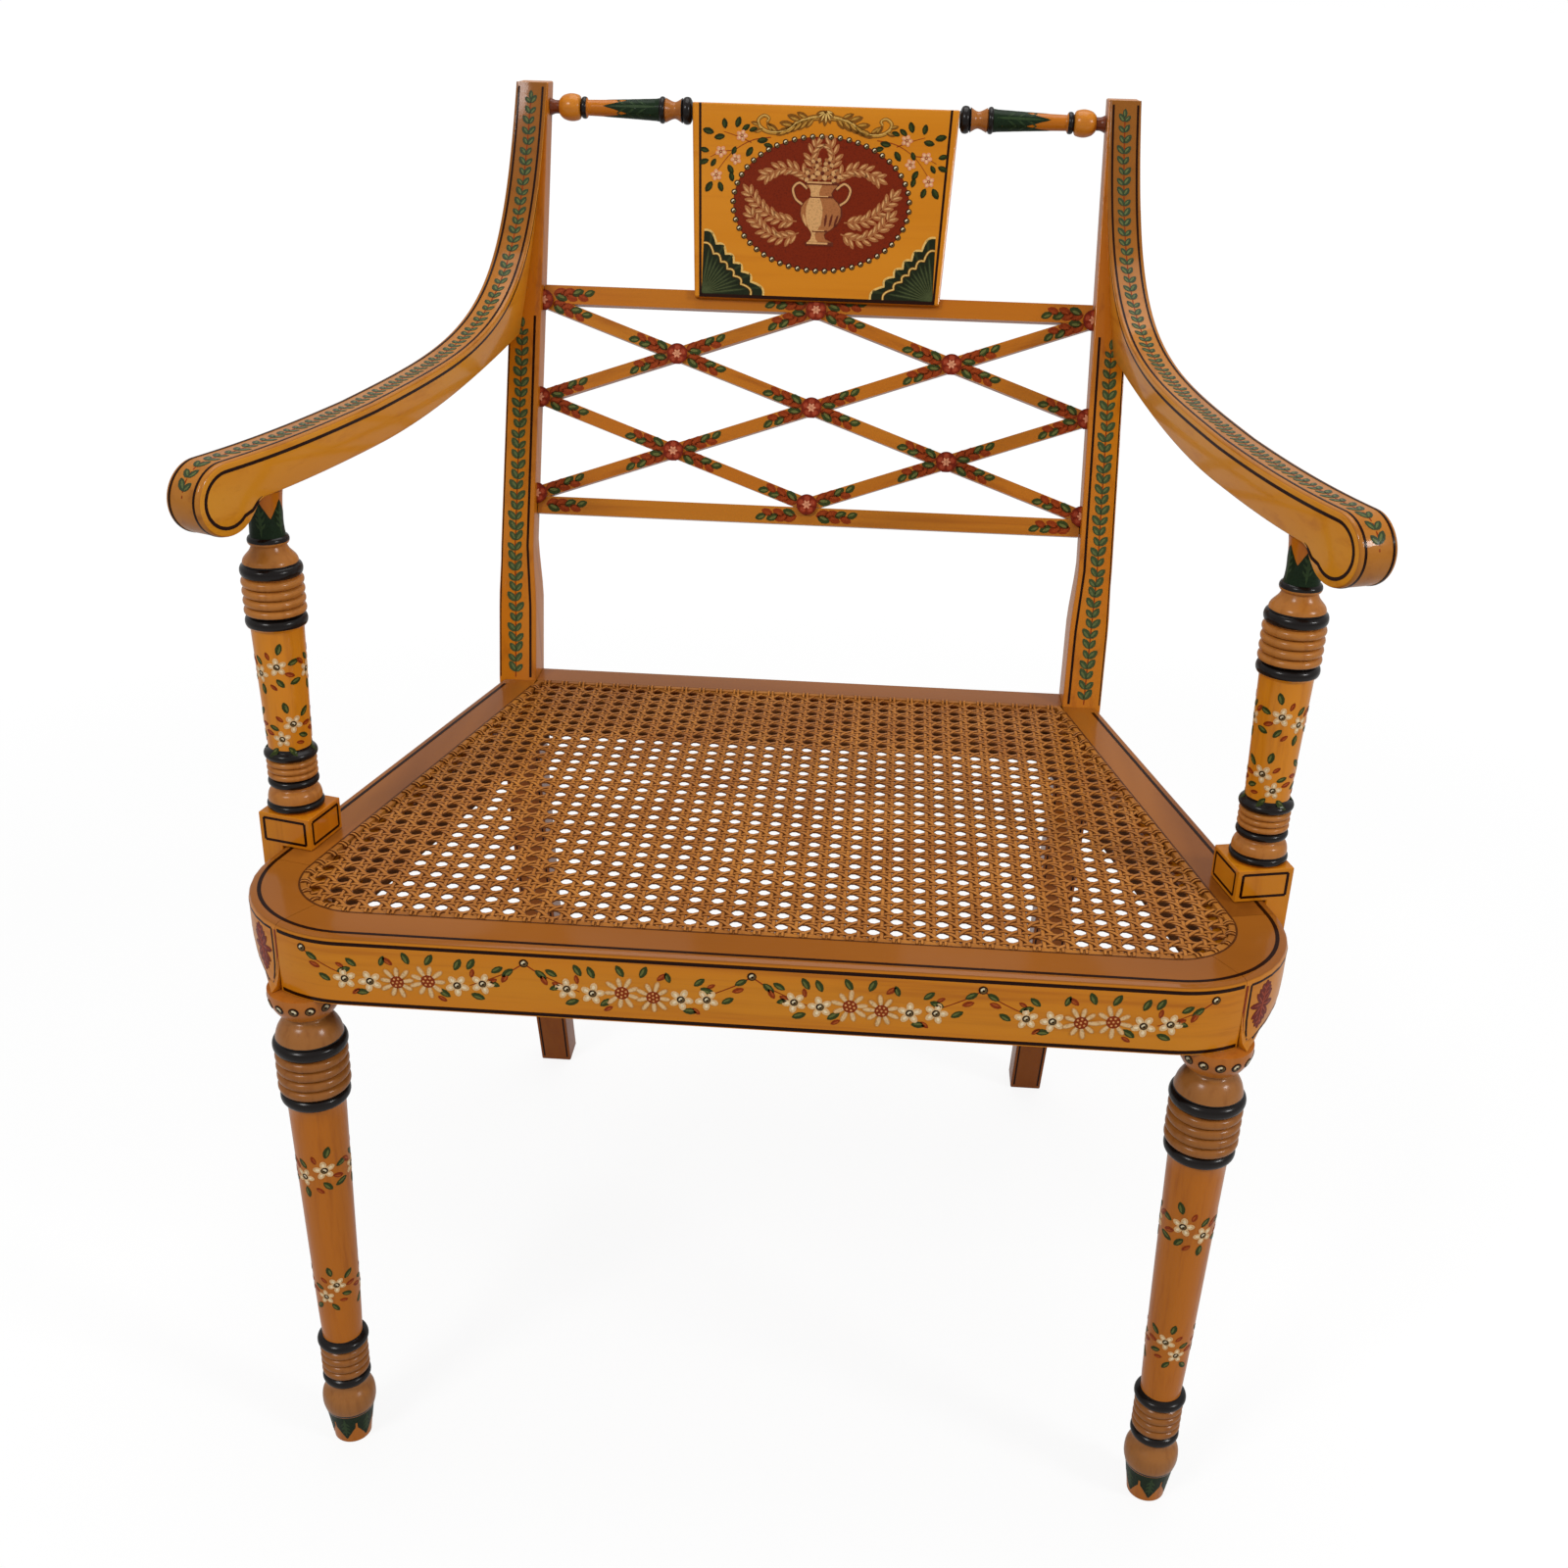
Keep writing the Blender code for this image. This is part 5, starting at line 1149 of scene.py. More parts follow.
def swag(work, start_u, turn, sign):
    """One swag from a pearl to the next, mirrored when the sign is -1."""
    def place(u, z):
        along = u if sign > 0 else PEARL_SPACING / MM - u
        return start_u + along * MM, z * MM

    for u0, u1 in ((1, 30), (PEARL_SPACING / MM - 1, 94)):
        stem = [place(u0 + (u1 - u0) * t, 368 - 15 * t ** 0.8) for t in spaced(0, 1, 5)]
        work.line(stem, 0.0007, RUST, 0, 0.0004)
    for u, z, degrees, length in SWAG_LEAVES:
        work.leaf(place(u, z), side_turn(sign, degrees), length * 1.25 * MM)
    for u, z, degrees, length in SWAG_RUST:
        work.rust_leaf(place(u, z), side_turn(sign, degrees), length * 1.15 * MM)
    for k, (u, z, radius) in enumerate(SWAG_BLOSSOMS):
        work.blossom(place(u, z), radius * MM, turn + k)
    for k, (u, z, radius) in enumerate(SWAG_DAISIES):
        work.daisy(place(u, z), radius * MM, turn + 0.2 * k, 2 + 4 * k)


rail_work = Painting(front_face)
for k in range(4):
    swag(rail_work, (k - 2) * PEARL_SPACING, 0.4 * k, -1 if k in (0, 3) else 1)
for k in range(5):
    rail_work.pearl(((k - 2) * PEARL_SPACING, PEARL_HEIGHT), PEARL_RADIUS)
for height in LINE_HEIGHTS:
    rail_work.straight((-FILLET + 0.0012, height), (FILLET - 0.0012, height), LINE_THICK, INK)
show(rail_work, "front_rail_painting")
print("front rail:", len(rail_work.faces), "faces of paint")

# %% [markdown]
# ## Back posts
# A trail of paired leaves on a rust stem climbs each post, between a thin line at the outer edge and a
# thicker one nearer the inner edge. The back lies in one sloping plane, so its frame turns a place on it
# into a place in the room. The post swells near the seat, and a short table gives its middle and width.

# %% Back posts
POST_ROWS = ((0.0, 0.2070, 0.0275), (0.0533, 0.2089, 0.0275), (0.0980, 0.2108, 0.0240),
             (0.4282, 0.2108, 0.0225))
TRAIL_FOOT, TRAIL_TOP, TRAIL_STEPS = 0.002, 0.264, 30
INNER_INSET, INNER_LINE, OUTER_INSET, OUTER_LINE = 0.0042, 0.0017, 0.0012, 0.0008
TRAIL_LIGHT, POST_GREEN = colour(96, 106, 62), colour(64, 78, 46)


def back_face(depth):
    """A surface in the plane of the back, this far behind the fronts of the posts."""
    return lambda u, v, lift: back_frame @ Vector((u, depth - lift, v))


def from_rows(rows, at):
    """Read a table that is sorted by its first column, straight between its rows."""
    for low, high in zip(rows, rows[1:]):
        if at <= high[0]:
            break
    share = (at - low[0]) / (high[0] - low[0])
    return [a + (b - a) * share for a, b in zip(low[1:], high[1:])]


def walk(path, spacing):
    """Places at equal distances along a path, with the direction there."""
    left = spacing / 2
    for a, b in zip(path, path[1:]):
        length = dist(a, b)
        done = 0.0
        while length - done >= left:
            done += left
            left = spacing
            yield between(a, b, done / length), heading(a, b)
        left -= length - done


def trail(work, path, spacing=0.0082, length=0.0086, tint=GREEN, last_size=0.55):
    """Paired leaves on a stem, with one leaf at the tip. The last three pairs change in size."""
    work.line(path, 0.0008, RUST)
    pairs = list(walk(path, spacing))
    for k, (at, turn) in enumerate(pairs):
        taper = last_size + (1 - last_size) * min(3, len(pairs) - 1 - k) / 3
        for side in (-1, 1):
            lean = turn + side * radians(36 + 7 * sin(2.3 * k + side))
            size = length * taper * (1 + 0.10 * sin(1.7 * k - 2 * side))
            work.leaf(at, lean, size, tint, TRAIL_LIGHT, 1, 0.56)
    work.leaf(path[-1], heading(*path[-2:]), length * 0.9, tint, TRAIL_LIGHT)


post_work = Painting(back_face(0.0))
middles = [(*from_rows(POST_ROWS, w), w) for w in spaced(TRAIL_FOOT, TRAIL_TOP, TRAIL_STEPS)]
trail(post_work, [(x + 0.0014, w) for x, width, w in middles[:-1]], 0.0074, 0.0084, POST_GREEN, 0.8)
post_work.line([(x - width / 2 + INNER_INSET, w) for x, width, w in middles], INNER_LINE, INK)
post_work.line([(x + width / 2 - OUTER_INSET, w) for x, width, w in middles], OUTER_LINE, INK)
show_both(post_work, "rear_post_painting")
print("posts:", len(post_work.faces), "faces of paint")

# %% [markdown]
# ## Arm curves
# Seen from the side, the top of an arm sweeps down from the post, runs level and rolls over at the nose,
# and its underside leaves the post lower down and curls into the scroll. Seen from above, its middle is
# one smooth curve.

# %% Arm curves
ARM_TIP, ARM_LEVEL = Vector((0.25135, 0.780)), Vector((-0.05265, 0.616))
ARM_NOSE, NOSE_RADIUS = Vector((-0.19533, 0.5962)), 0.0198
ARM_NECK = Vector((-0.16783, 0.5905))
ARM_ROOT, ARM_THICKNESS = 0.613, 0.0255
ARM_ROWS = ((-0.21513, 0.3045), (SUPPORT_Y, SUPPORT_X), (-0.05365, 0.2602), (0.14635, 0.2252),
            (0.25485, 0.2108))
NOSE_START, NOSE_END, HOLLOW_END = radians(90), radians(310), radians(-38)
SWEEP_STEPS, LEVEL_STEPS, NOSE_STEPS = 60, 24, 40


def arm_spread(y):
    """Half-width of the arm's middle line: one smooth curve through five places."""
    total = 0.0
    for yi, spread in ARM_ROWS:
        for yj, _ in ARM_ROWS:
            if yj != yi:
                spread *= (y - yj) / (yi - yj)
        total += spread
    return total


def across_arm(y):
    """The level direction across the arm, outwards."""
    swing = atan((arm_spread(y - 0.0003) - arm_spread(y + 0.0003)) / 0.0006)
    ease = min(1.0, max(0.0, (POST_Y - y) / 0.160))
    return Vector((cos(swing * ease), sin(swing * ease), 0))


def bezier(a, b, c, d, steps):
    """A curve from a to d that sets out towards b and arrives from c."""
    return [a * (1 - t) ** 3 + b * 3 * t * (1 - t) ** 2 + c * 3 * t * t * (1 - t) + d * t ** 3
            for t in spaced(0, 1, steps)]


def on_nose(angle):
    return ARM_NOSE + NOSE_RADIUS * Vector((cos(angle), sin(angle)))


def on_post(z):
    return Vector((POST_Y + (z - SEAT_TOP) * tan(RAKE) - 0.0003, z))


slope_down = Vector((-sin(RAKE), -cos(RAKE)))
arm_line = bezier(ARM_TIP, ARM_TIP + slope_down * 0.17, ARM_LEVEL + Vector((0.18, 0.004)), ARM_LEVEL,
                  SWEEP_STEPS)
inner_shares = spaced(0, 1, LEVEL_STEPS)[1:-1]
arm_line += [ARM_LEVEL.lerp(on_nose(NOSE_START), t) for t in inner_shares]
arm_line += [on_nose(angle) for angle in spaced(NOSE_START, NOSE_END, NOSE_STEPS)]
crown, root, under_level = on_post(ARM_TIP.y), on_post(ARM_ROOT), ARM_LEVEL - Vector((0, ARM_THICKNESS))
hollow = bezier(ARM_NECK, ARM_NECK - Vector((0.006, 0)), ARM_NOSE + NOSE_RADIUS * Vector((1.0, -0.55)),
                on_nose(HOLLOW_END), NOSE_STEPS)
half_sweep = SWEEP_STEPS // 2
under_line = [crown.lerp(root, t) for t in spaced(0, 1, half_sweep)[:-1]]
under_line += bezier(root, root - Vector((0.075, 0.010)), under_level + Vector((0.090, 0)), under_level,
                     half_sweep)
under_line += [under_level.lerp(ARM_NECK, t) for t in inner_shares] + hollow
print("arm lines:", len(arm_line), "and", len(under_line), "points")

# %% [markdown]
# ## Arm wood
# Rounded rings are set between the two lines, square to the arm's middle curve, and skinned over. The top
# of the arm is a shaded copy of the wood: painted shade makes it browner than the flanks, and darker still
# up the sweep towards the post.

# %% Arm wood
ARM_HALF, ARM_TAPER, ARM_EDGE, EDGE_STEPS = 0.01175, 0.00075, 0.0020, 4
ARM_TONES = colour(214, 137, 26), colour(186, 107, 16), colour(220, 147, 36)
ARM_TOP_SHADED_TONES = colour(176, 108, 32), colour(144, 80, 16), colour(182, 116, 40)
# Painted shade on the top of the arm, darkening up the sweep towards the post.
ARM_TOP_PAINTED_SHADE = 0.625, 0.720, colour(124, 70, 14)
wood_arm = satinwood("satinwood_arm", ALONG_Y, *ARM_TONES)
wood_arm_top_shaded = satinwood("satinwood_arm_top_shaded", ALONG_Y, *ARM_TOP_SHADED_TONES, shade=ARM_TOP_PAINTED_SHADE)


def arm_ring(top, under):
    """A section of the arm with rounded corners."""
    climb = max(0.0, (top.y - ARM_LEVEL.y) / (ARM_TIP.y - ARM_LEVEL.y))
    half, depth = ARM_HALF - ARM_TAPER * climb, (under - top).length
    edge = min(ARM_EDGE, 0.4 * depth)
    ring = []
    for corner, (out, up) in enumerate(((1, 1), (-1, 1), (-1, -1), (1, -1))):
        for k in range(EDGE_STEPS + 1):
            angle = pi / 2 * (corner + k / EDGE_STEPS)
            place = top.lerp(under, 0.5 - (up * (depth / 2 - edge) + edge * sin(angle)) / depth)
            y = top.x if climb > 0 else place.x
            sideways = across_arm(y) * (out * (half - edge) + edge * cos(angle))
            ring.append(Vector((arm_spread(y), *place)) + sideways)
    return ring


rings = [arm_ring(top, under) for top, under in zip(arm_line, under_line)]
girth = len(rings[0])
skin = []
for first in range(0, girth * (len(rings) - 1), girth):
    for k in range(girth):
        after_k = (k + 1) % girth
        skin.append((first + k, first + after_k, first + girth + after_k, first + girth + k))
ends = [range(girth), range(girth * (len(rings) - 1), girth * len(rings))]
arm_right = new_piece("arm_right_wood", [p for ring in rings for p in ring], (), skin + ends)
edit(face_out)
bpy.ops.object.shade_smooth_by_angle(angle=radians(40))
for side, arm in pair(arm_right, "arm_left_wood").items():
    hand_in(arm, wood_arm, "satinwood", "arm_" + side)
    # The faces round the top of the arm take the shaded copy, as painted shade.
    arm.data.materials.append(wood_arm_top_shaded)
    for face in arm.data.polygons[:len(skin)]:
        if 1 <= face.index % girth < 2 * EDGE_STEPS:
            face.material_index = 1
bpy.context.view_layer.update()
print("an arm has", len(arm_right.data.polygons), "faces")

# %% [markdown]
# ## Paint on the arms
# A leaf trail runs between two fine lines along the top of each arm, with its tip at the post, and a bold
# line goes round each flank and follows the scroll back to the support. Each stroke is set down near the
# arm and then moved to the nearest place on the wood, so that it lies on the curve.

# %% Paint on the arms
TRAIL_GREEN = colour(58, 70, 46)
EDGE_PLACES, EDGE_LINE = (0.0087, -0.0084), 0.0014
FLANK_START, FLANK_INSET, FLANK_LINE, SCROLL_INSET = 0.075, 0.0048, 0.0019, 0.0024
arm_reach = [0.0]
for a, b in zip(arm_line, arm_line[1:]):
    arm_reach.append(arm_reach[-1] + (b - a).length)


def arm_at(u):
    """The place on the arm's top line this far from the post, and the direction into the wood."""
    last = len(arm_line) - 1
    k = max(1, next((k for k, reach in enumerate(arm_reach) if reach >= u), last))
    a, b = arm_line[k - 1], arm_line[k]
    place = a.lerp(b, (u - arm_reach[k - 1]) / (arm_reach[k] - arm_reach[k - 1]))
    way = (b - a).normalized()
    return place, Vector((-way.y, way.x))


def laid_on(piece, place, lift):
    """The nearest place on a piece, lifted off it."""
    _, spot, normal, _ = piece.closest_point_on_mesh(place)
    return spot + normal * lift


def arm_top(u, v, lift):
    place, _ = arm_at(u)
    return laid_on(arm_right, Vector((arm_spread(place.x), *place)) + across_arm(place.x) * v, lift)


def arm_flank(side):
    """A flank in side view: straight on to the wood from that side."""
    def surface(y, z, lift):
        place = Vector((arm_spread(y), y, z)) + across_arm(y) * (ARM_HALF * side)
        return laid_on(arm_right, place, lift)
    return surface


brow, whole = arm_reach[-1 - NOSE_STEPS], arm_reach[-1]
arm_work = Painting(arm_top)
trail(arm_work, [(u, -0.0002) for u in spaced(brow + 0.027, 0.012, 120)], 0.0074, 0.0072, TRAIL_GREEN, 0.9)
for across_by in EDGE_PLACES:
    arm_work.line([(u, across_by) for u in spaced(0.003, whole - 0.007, 560)], EDGE_LINE, INK, 2)
show_both(arm_work, "arm_top_painting")
flank_line = []
for u in spaced(FLANK_START, whole, 189):
    place, inwards = arm_at(u)
    flank_line.append(tuple(place + inwards * FLANK_INSET))
flank_line += [tuple(p + (ARM_NOSE - p).normalized() * SCROLL_INSET) for p in reversed(hollow[3:-6:3])]
for name, side in (("inner", -1), ("outer", 1)):
    flank_work = Painting(arm_flank(side))
    flank_work.line(flank_line, FLANK_LINE, INK)
    show_both(flank_work, "arm_" + name + "_line")
print("arms:", len(arm_work.faces), "faces of paint")

# %% [markdown]
# ## Lattice
# A rose is painted on every boss where the bars cross, with sprays of leaves running out along each bar
# and rail, green and rust by turns. The crossings make a regular net, so each one is a row: its place,
# and the directions in which wood leaves it.

# %% Lattice
LATTICE_DEPTH, BOSS_DEPTH = 0.009, 0.0062
LATTICE_ROWS = (0.1376, 0.1724, 0.2072, 0.2420, 0.2768)
RAIL_MIDDLES = {LATTICE_ROWS[0]: 0.1294, LATTICE_ROWS[4]: 0.2812}
REACH = 0.19905
up_right, up_left = LATTICE_TILT, pi - LATTICE_TILT
down_right, down_left = -LATTICE_TILT, pi + LATTICE_TILT
all_ways = up_right, up_left, down_left, down_right
CROSSINGS = [((0, LATTICE_ROWS[2]), all_ways), ((0, LATTICE_ROWS[0]), (0, pi, up_right, up_left)),
             ((0, LATTICE_ROWS[4]), (0, pi, down_right, down_left))]
for sign in (-1, 1):
    inwards = pi if sign > 0 else 0
    CROSSINGS += [((sign * REACH / 2, LATTICE_ROWS[1]), all_ways),
                  ((sign * REACH / 2, LATTICE_ROWS[3]), all_ways),
                  ((sign * REACH, LATTICE_ROWS[2]), (inwards + LATTICE_TILT, inwards - LATTICE_TILT)),
                  ((sign * REACH, LATTICE_ROWS[0]), (inwards, inwards - sign * LATTICE_TILT)),
                  ((sign * REACH, LATTICE_ROWS[4]), (inwards, inwards + sign * LATTICE_TILT))]
SPRAY_LIGHT = colour(150, 62, 20)
SPRAY = ((0.0070, 0, 0.0100), (0.0080, 1, 0.0100), (0.0135, 0, 0.0100), (0.0160, 0, 0.0095),
         (0.0205, 1, 0.0095), (0.0245, 0, 0.0090), (0.0295, 1, 0.0085))
ROSE_RADIUS = 0.0074


def spray(work, at, turn):
    """Leaves along a bar, leaning to either side of it."""
    for k, (reach, green, length) in enumerate(SPRAY):
        lean = turn + radians(22) * (-1) ** k
        tones = (GREEN, GREEN_LIGHT) if green else (RUST, SPRAY_LIGHT)
        work.leaf(away(at, turn, reach), lean, length, *tones, plump=0.6)


def rose(work, at, radius):
    """A red rose seen from above: rounds of petals and a pink star."""
    work.dot(at, radius, MAROON, 0, DISC)
    for turn, reach, size, tint, layer in ((0.3, 0.62, 0.36, RED, 1), (0.3, 0.60, 0.24, MAROON_LIGHT, 2),
                                           (0.3 + pi / 5, 0.26, 0.22, RED, 3)):
        work.petals(DOT, at, 5, turn, reach * radius, size * radius * 0.85, size * radius, tint, layer)
    work.petals(LEAF, at, 6, 0, 0, radius * 0.46, radius * 0.24, PINK, 4)


lattice_work, rose_work = Painting(back_face(LATTICE_DEPTH)), Painting(back_face(BOSS_DEPTH))
for at, ways in CROSSINGS:
    for way in ways:
        spray(lattice_work, (at[0], RAIL_MIDDLES[at[1]]) if way in (0, pi) else at, way)
    rose(rose_work, at, ROSE_RADIUS)
show(lattice_work, "lattice_painting")
show(rose_work, "lattice_roses")
boss, boss_shader, place = start("boss_paint", coat=0.30)
mottle = place.noise(700.0, 3.0)
feed(boss_shader, base_color=mottle.rise(0.4, 0.7).mix(MAROON, RED), roughness=mottle * 0.2 + 0.25)
for name, node in nodes.items():
    if "roundel" in name:
        wear(node, boss)
print(len(CROSSINGS), "roses")

# %% [markdown]
# ## Crest tablet
# The tablet is the show piece. An oval of maroon is ringed with pearls, under a gilt scroll, with a spray
# of flowers at either side and a green fan in each lower corner. Everything but the oval comes in pairs,
# so it is written down for one side, in millimetres, and drawn for both.

# %% Crest tablet
TABLET_DEPTH = 0.0035
TABLET_FOOT, TABLET_TOP = 0.2838, 0.4186
HALF_FOOT, HALF_TOP, HALF_FOOT_LINE = 0.0840, 0.0900, 0.0848
SIDE_LINE, FOOT_LINE = 0.0017, 0.0024
OVAL, OVAL_WIDE, OVAL_TALL = (0.0, 0.3506), 0.0632, 0.0470
OVAL_RED = colour(116, 34, 6)
PEARLS, OVAL_PEARL, OVAL_STEPS = 53, 0.0021, 720
tablet_work = Painting(back_face(TABLET_DEPTH))
for sign in (-1, 1):
    tablet_work.straight((sign * HALF_TOP, TABLET_TOP), (sign * HALF_FOOT, TABLET_FOOT), SIDE_LINE, INK)
tablet_work.straight((-HALF_FOOT_LINE, TABLET_FOOT), (HALF_FOOT_LINE, TABLET_FOOT), FOOT_LINE, INK)
tablet_work.stroke(DISC, OVAL, 0, OVAL_WIDE, OVAL_TALL, OVAL_RED)
oval_line = [(OVAL[0] + OVAL_WIDE * cos(turn), OVAL[1] + OVAL_TALL * sin(turn))
             for turn in spaced(0, 2 * pi, OVAL_STEPS)]
oval_length = sum(dist(a, b) for a, b in zip(oval_line, oval_line[1:]))
for at, _ in walk(oval_line, oval_length / PEARLS * 0.9999):
    tablet_work.pearl(at, OVAL_PEARL)
SPRAY_LEAVES = ((-79, 398, 165, 8), (-71, 401, 100, 7), (-63, 402, 75, 7.5), (-59, 400, 40, 6.5),
                (-54, 400, 20, 6), (-71, 396, -170, 7.5), (-63, 389, -110, 6), (-48, 393, 10, 7.5),
                (-51, 389, -120, 7.5), (-43, 391, -15, 6.5), (-82, 385, 165, 6.5), (-82, 379, 200, 7),
                (-77, 380, -120, 6), (-68, 376, -60, 7), (-66, 371, -75, 6.5), (-79, 364, -120, 8),
                (-74, 364, -70, 7))
SPRAY_FLOWERS = ((-59, 396.5, 4.2), (-73.5, 385, 4.2), (-62.5, 380, 4.0), (-76, 368.5, 4.2))
SPRAY_STEMS = (((-38, 396), (-50, 394), (-60, 389), (-68, 382), (-76, 371)),
               ((-52, 392), (-62, 396), (-72, 399)), ((-64, 386), (-73, 385), (-81, 381)))


def on_side(sign, x, w):
    """Millimetres across and up the back, as drawn or mirrored."""
    return sign * x * MM, w * MM


for sign in (1, -1):
    for stem in SPRAY_STEMS:
        tablet_work.line([on_side(sign, *p) for p in curve(*stem)], 0.0007, RUST, 0, 0.0004)
    for x, w, degrees, length in SPRAY_LEAVES:
        at, turn = on_side(sign, x, w), side_turn(sign, degrees)
        tablet_work.leaf(at, turn, length * 1.08 * MM, GREEN_DARK, GREEN, 1, 0.56)
    for k, (x, w, size) in enumerate(SPRAY_FLOWERS):
        at, radius = on_side(sign, x, w), size * MM
        tablet_work.petals(DOT, at, 5, k, radius * 0.55, radius * 0.46, radius * 0.36, PINK, 3)
        tablet_work.petals(DOT, at, 5, k, radius * 0.55, radius * 0.22, radius * 0.16, CREAM, 4)
        tablet_work.dot(at, radius * 0.26, RED, 5)
        tablet_work.dot(at, radius * 0.12, GOLD_LIGHT, 6)
print("tablet so far:", len(tablet_work.faces), "faces of paint")

# %% [markdown]
# ## Scroll and fans
# The gilt scroll is drawn in three tones, as a painter models a carved moulding: a dark stroke, a body
# and a light. A fan is a fan of triangles round its corner, with a scalloped rim that runs straight from
# end to end, a second scallop inside it, both lined in gold, and pale ribs.

# %% Scroll and fans
SCROLL = ((3, 411), (10, 410), (19, 407), (26, 401.5), (33, 399.5), (41, 400), (46.5, 403.5), (47.5, 408),
          (43.5, 411), (40, 409), (41.5, 406.5))
SCROLL_LEAVES = ((8, 410.5, -52, 7), (12, 409.5, -48, 8), (16, 408, -44, 8.5), (20, 406, -38, 9),
                 (24, 403, -26, 9), (12, 410, 25, 7), (17, 408.5, 18, 8), (22, 405, 8, 8), (33, 400, 35, 7),
                 (37, 400, 55, 6), (44, 401.5, -20, 5), (46.5, 404.5, 15, 5))
CREST_LEAVES = ((-90, 11), (-65, 10), (-115, 10), (-40, 8.5), (-140, 8.5), (-20, 7), (-160, 7))
FAN_STEPS, SCALLOPS, RIBS = 72, 6, 12
FAN_X, FAN_FOOT, FAN_OUTER, FAN_INNER = 0.0832, 0.2850, 0.0470, 0.0375
FAN_DARK, FAN_RIB, FAN_LIGHT = colour(28, 34, 16), colour(44, 52, 28), colour(70, 78, 46)


def fan_rim(sign, ends):
    """A scalloped rim that runs straight from one end of the fan to the other."""
    points = []
    for angle in spaced(0, pi / 2, FAN_STEPS):
        reach = ends / (cos(angle) + sin(angle)) * (0.95 + 0.09 * abs(sin(2 * SCALLOPS * angle)))
        points.append((sign * (FAN_X - cos(angle) * reach), FAN_FOOT + sin(angle) * reach))
    return points


for sign in (-1, 1):
    path = [on_side(sign, *p) for p in curve(*SCROLL)]
    tablet_work.line(path, 0.0046, GOLD_SHADE, 0, 0.0020)
    tablet_work.line(path, 0.0030, GOLD, 1, 0.0012)
    tablet_work.line([(u, v + 0.0004) for u, v in path], 0.0006, GOLD_LIGHT, 2, 0.0003)
    for x, w, degrees, length in SCROLL_LEAVES:
        at, turn = on_side(sign, x, w), side_turn(sign, degrees)
        tablet_work.leaf(at, turn, length * 1.35 * MM, GOLD_SHADE, GOLD, 1, 0.44)
    apex, outer, inner = (sign * FAN_X, FAN_FOOT), fan_rim(sign, FAN_OUTER), fan_rim(sign, FAN_INNER)
    tablet_work.add([apex, *outer], [(0, k + 1, k + 2) for k in range(FAN_STEPS)], FAN_DARK, 0)
    tablet_work.line(outer, 0.0015, GOLD_LIGHT, 1)
    tablet_work.line(inner, 0.0019, GOLD_SHADE, 2)
    tablet_work.line(inner, 0.0010, GOLD_LIGHT, 3)
    for k in range(1, RIBS):
        tip = inner[round(FAN_STEPS * k / RIBS)]
        turn, length = heading(apex, tip), dist(apex, tip)
        tablet_work.stroke(LEAF, apex, turn, length * 0.96, 0.0026, FAN_RIB, 1)
        tablet_work.stroke(LEAF, apex, turn, length * 0.90, 0.0009, FAN_LIGHT, 2)
    for k in range(SCALLOPS):
        middle = round(FAN_STEPS * (k + 0.5) / SCALLOPS)
        tablet_work.line([inner[middle], outer[middle]], 0.0012, FAN_RIB, 1, 0.0022)
for degrees, length in CREST_LEAVES:
    tablet_work.leaf((0, 0.4155), radians(degrees), length * MM, GOLD_SHADE, GOLD_LIGHT, 2, 0.36)
print("scroll and fans done")

# %% [markdown]
# ## The urn
# In the oval stands a two-handled urn with leafy branches, in cream and tan only, like a carved relief: a
# dark stroke, a body and a light for each form, with the light from the upper left. The branches are
# leaves along a curve.

# %% The urn
TAN, TAN_LIGHT, TAN_SHADE = colour(164, 102, 58), colour(206, 156, 100), colour(98, 42, 24)
URN_ROWS = ((322, 9.0), (324, 8.6), (326, 4.2), (329, 3.0), (331, 4.6), (333, 8.0), (338, 12.6), (343, 14.4),
            (348, 14.0), (352, 11.4), (355, 8.0), (358, 7.0), (361, 8.6), (363, 11.0), (365, 11.4))
URN_BANDS = ((365, 11.8, 2.4), (355.5, 8.2, 1.4), (331.5, 5.4, 1.4), (322.6, 10.0, 2.6))
FLUTE_GAP, FLUTE_FOOT, FLUTE_LENGTH, FLUTE_WIDTH = 3.3, 334.5, 9.5, 1.8


def urn(work, grow, shift, tint, layer):
    """The urn's outline as a stack of strips, grown or shifted for its lights and shades."""
    flat = []
    for w, half in URN_ROWS:
        flat += [((shift - half * grow) * MM, w * MM), ((shift + half * grow) * MM, w * MM)]
    faces = [(k, k + 1, k + 3, k + 2) for k in range(0, len(flat) - 2, 2)]
    work.add(flat, faces, tint, layer)


urn(tablet_work, 1.06, 0.4, TAN_SHADE, 3)
urn(tablet_work, 1.0, 0.0, TAN, 4)
urn(tablet_work, 0.42, -4.6, TAN_LIGHT, 5)
for w, half, width in URN_BANDS:
    tablet_work.straight((-half * MM, w * MM), (half * MM, w * MM), width * MM, TAN_SHADE, 6)
    above = (w + 0.4) * MM
    tablet_work.straight((-half * 0.9 * MM, above), (half * 0.6 * MM, above), width * 0.5 * MM, TAN_LIGHT, 7)
for k in range(-3, 4):
    flute = (k * FLUTE_GAP * MM, FLUTE_FOOT * MM)
    flute_tint = TAN_LIGHT if k < 1 else TAN_SHADE
    tablet_work.stroke(LEAF, flute, pi / 2 - k * 0.10, FLUTE_LENGTH * MM, FLUTE_WIDTH * MM, flute_tint, 6)
HANDLE = ((10.5, 361), (16, 365), (20.5, 361), (18.5, 354), (13.5, 350))
BRANCHES = (((15, 330), (27, 326), (40, 331), (49, 341)), ((17, 338), (30, 339), (42, 346), (51, 356)),
            ((8, 366), (16, 373), (28, 375), (39, 370)), ((2, 366), (7, 376), (8, 384), (5, 391)))
BUNCH = ((0, 372, 5.6), (-9.5, 369.5, 4.6), (9.5, 369.5, 4.6), (-4.5, 379.5, 4.2), (4.5, 379.5, 4.2))
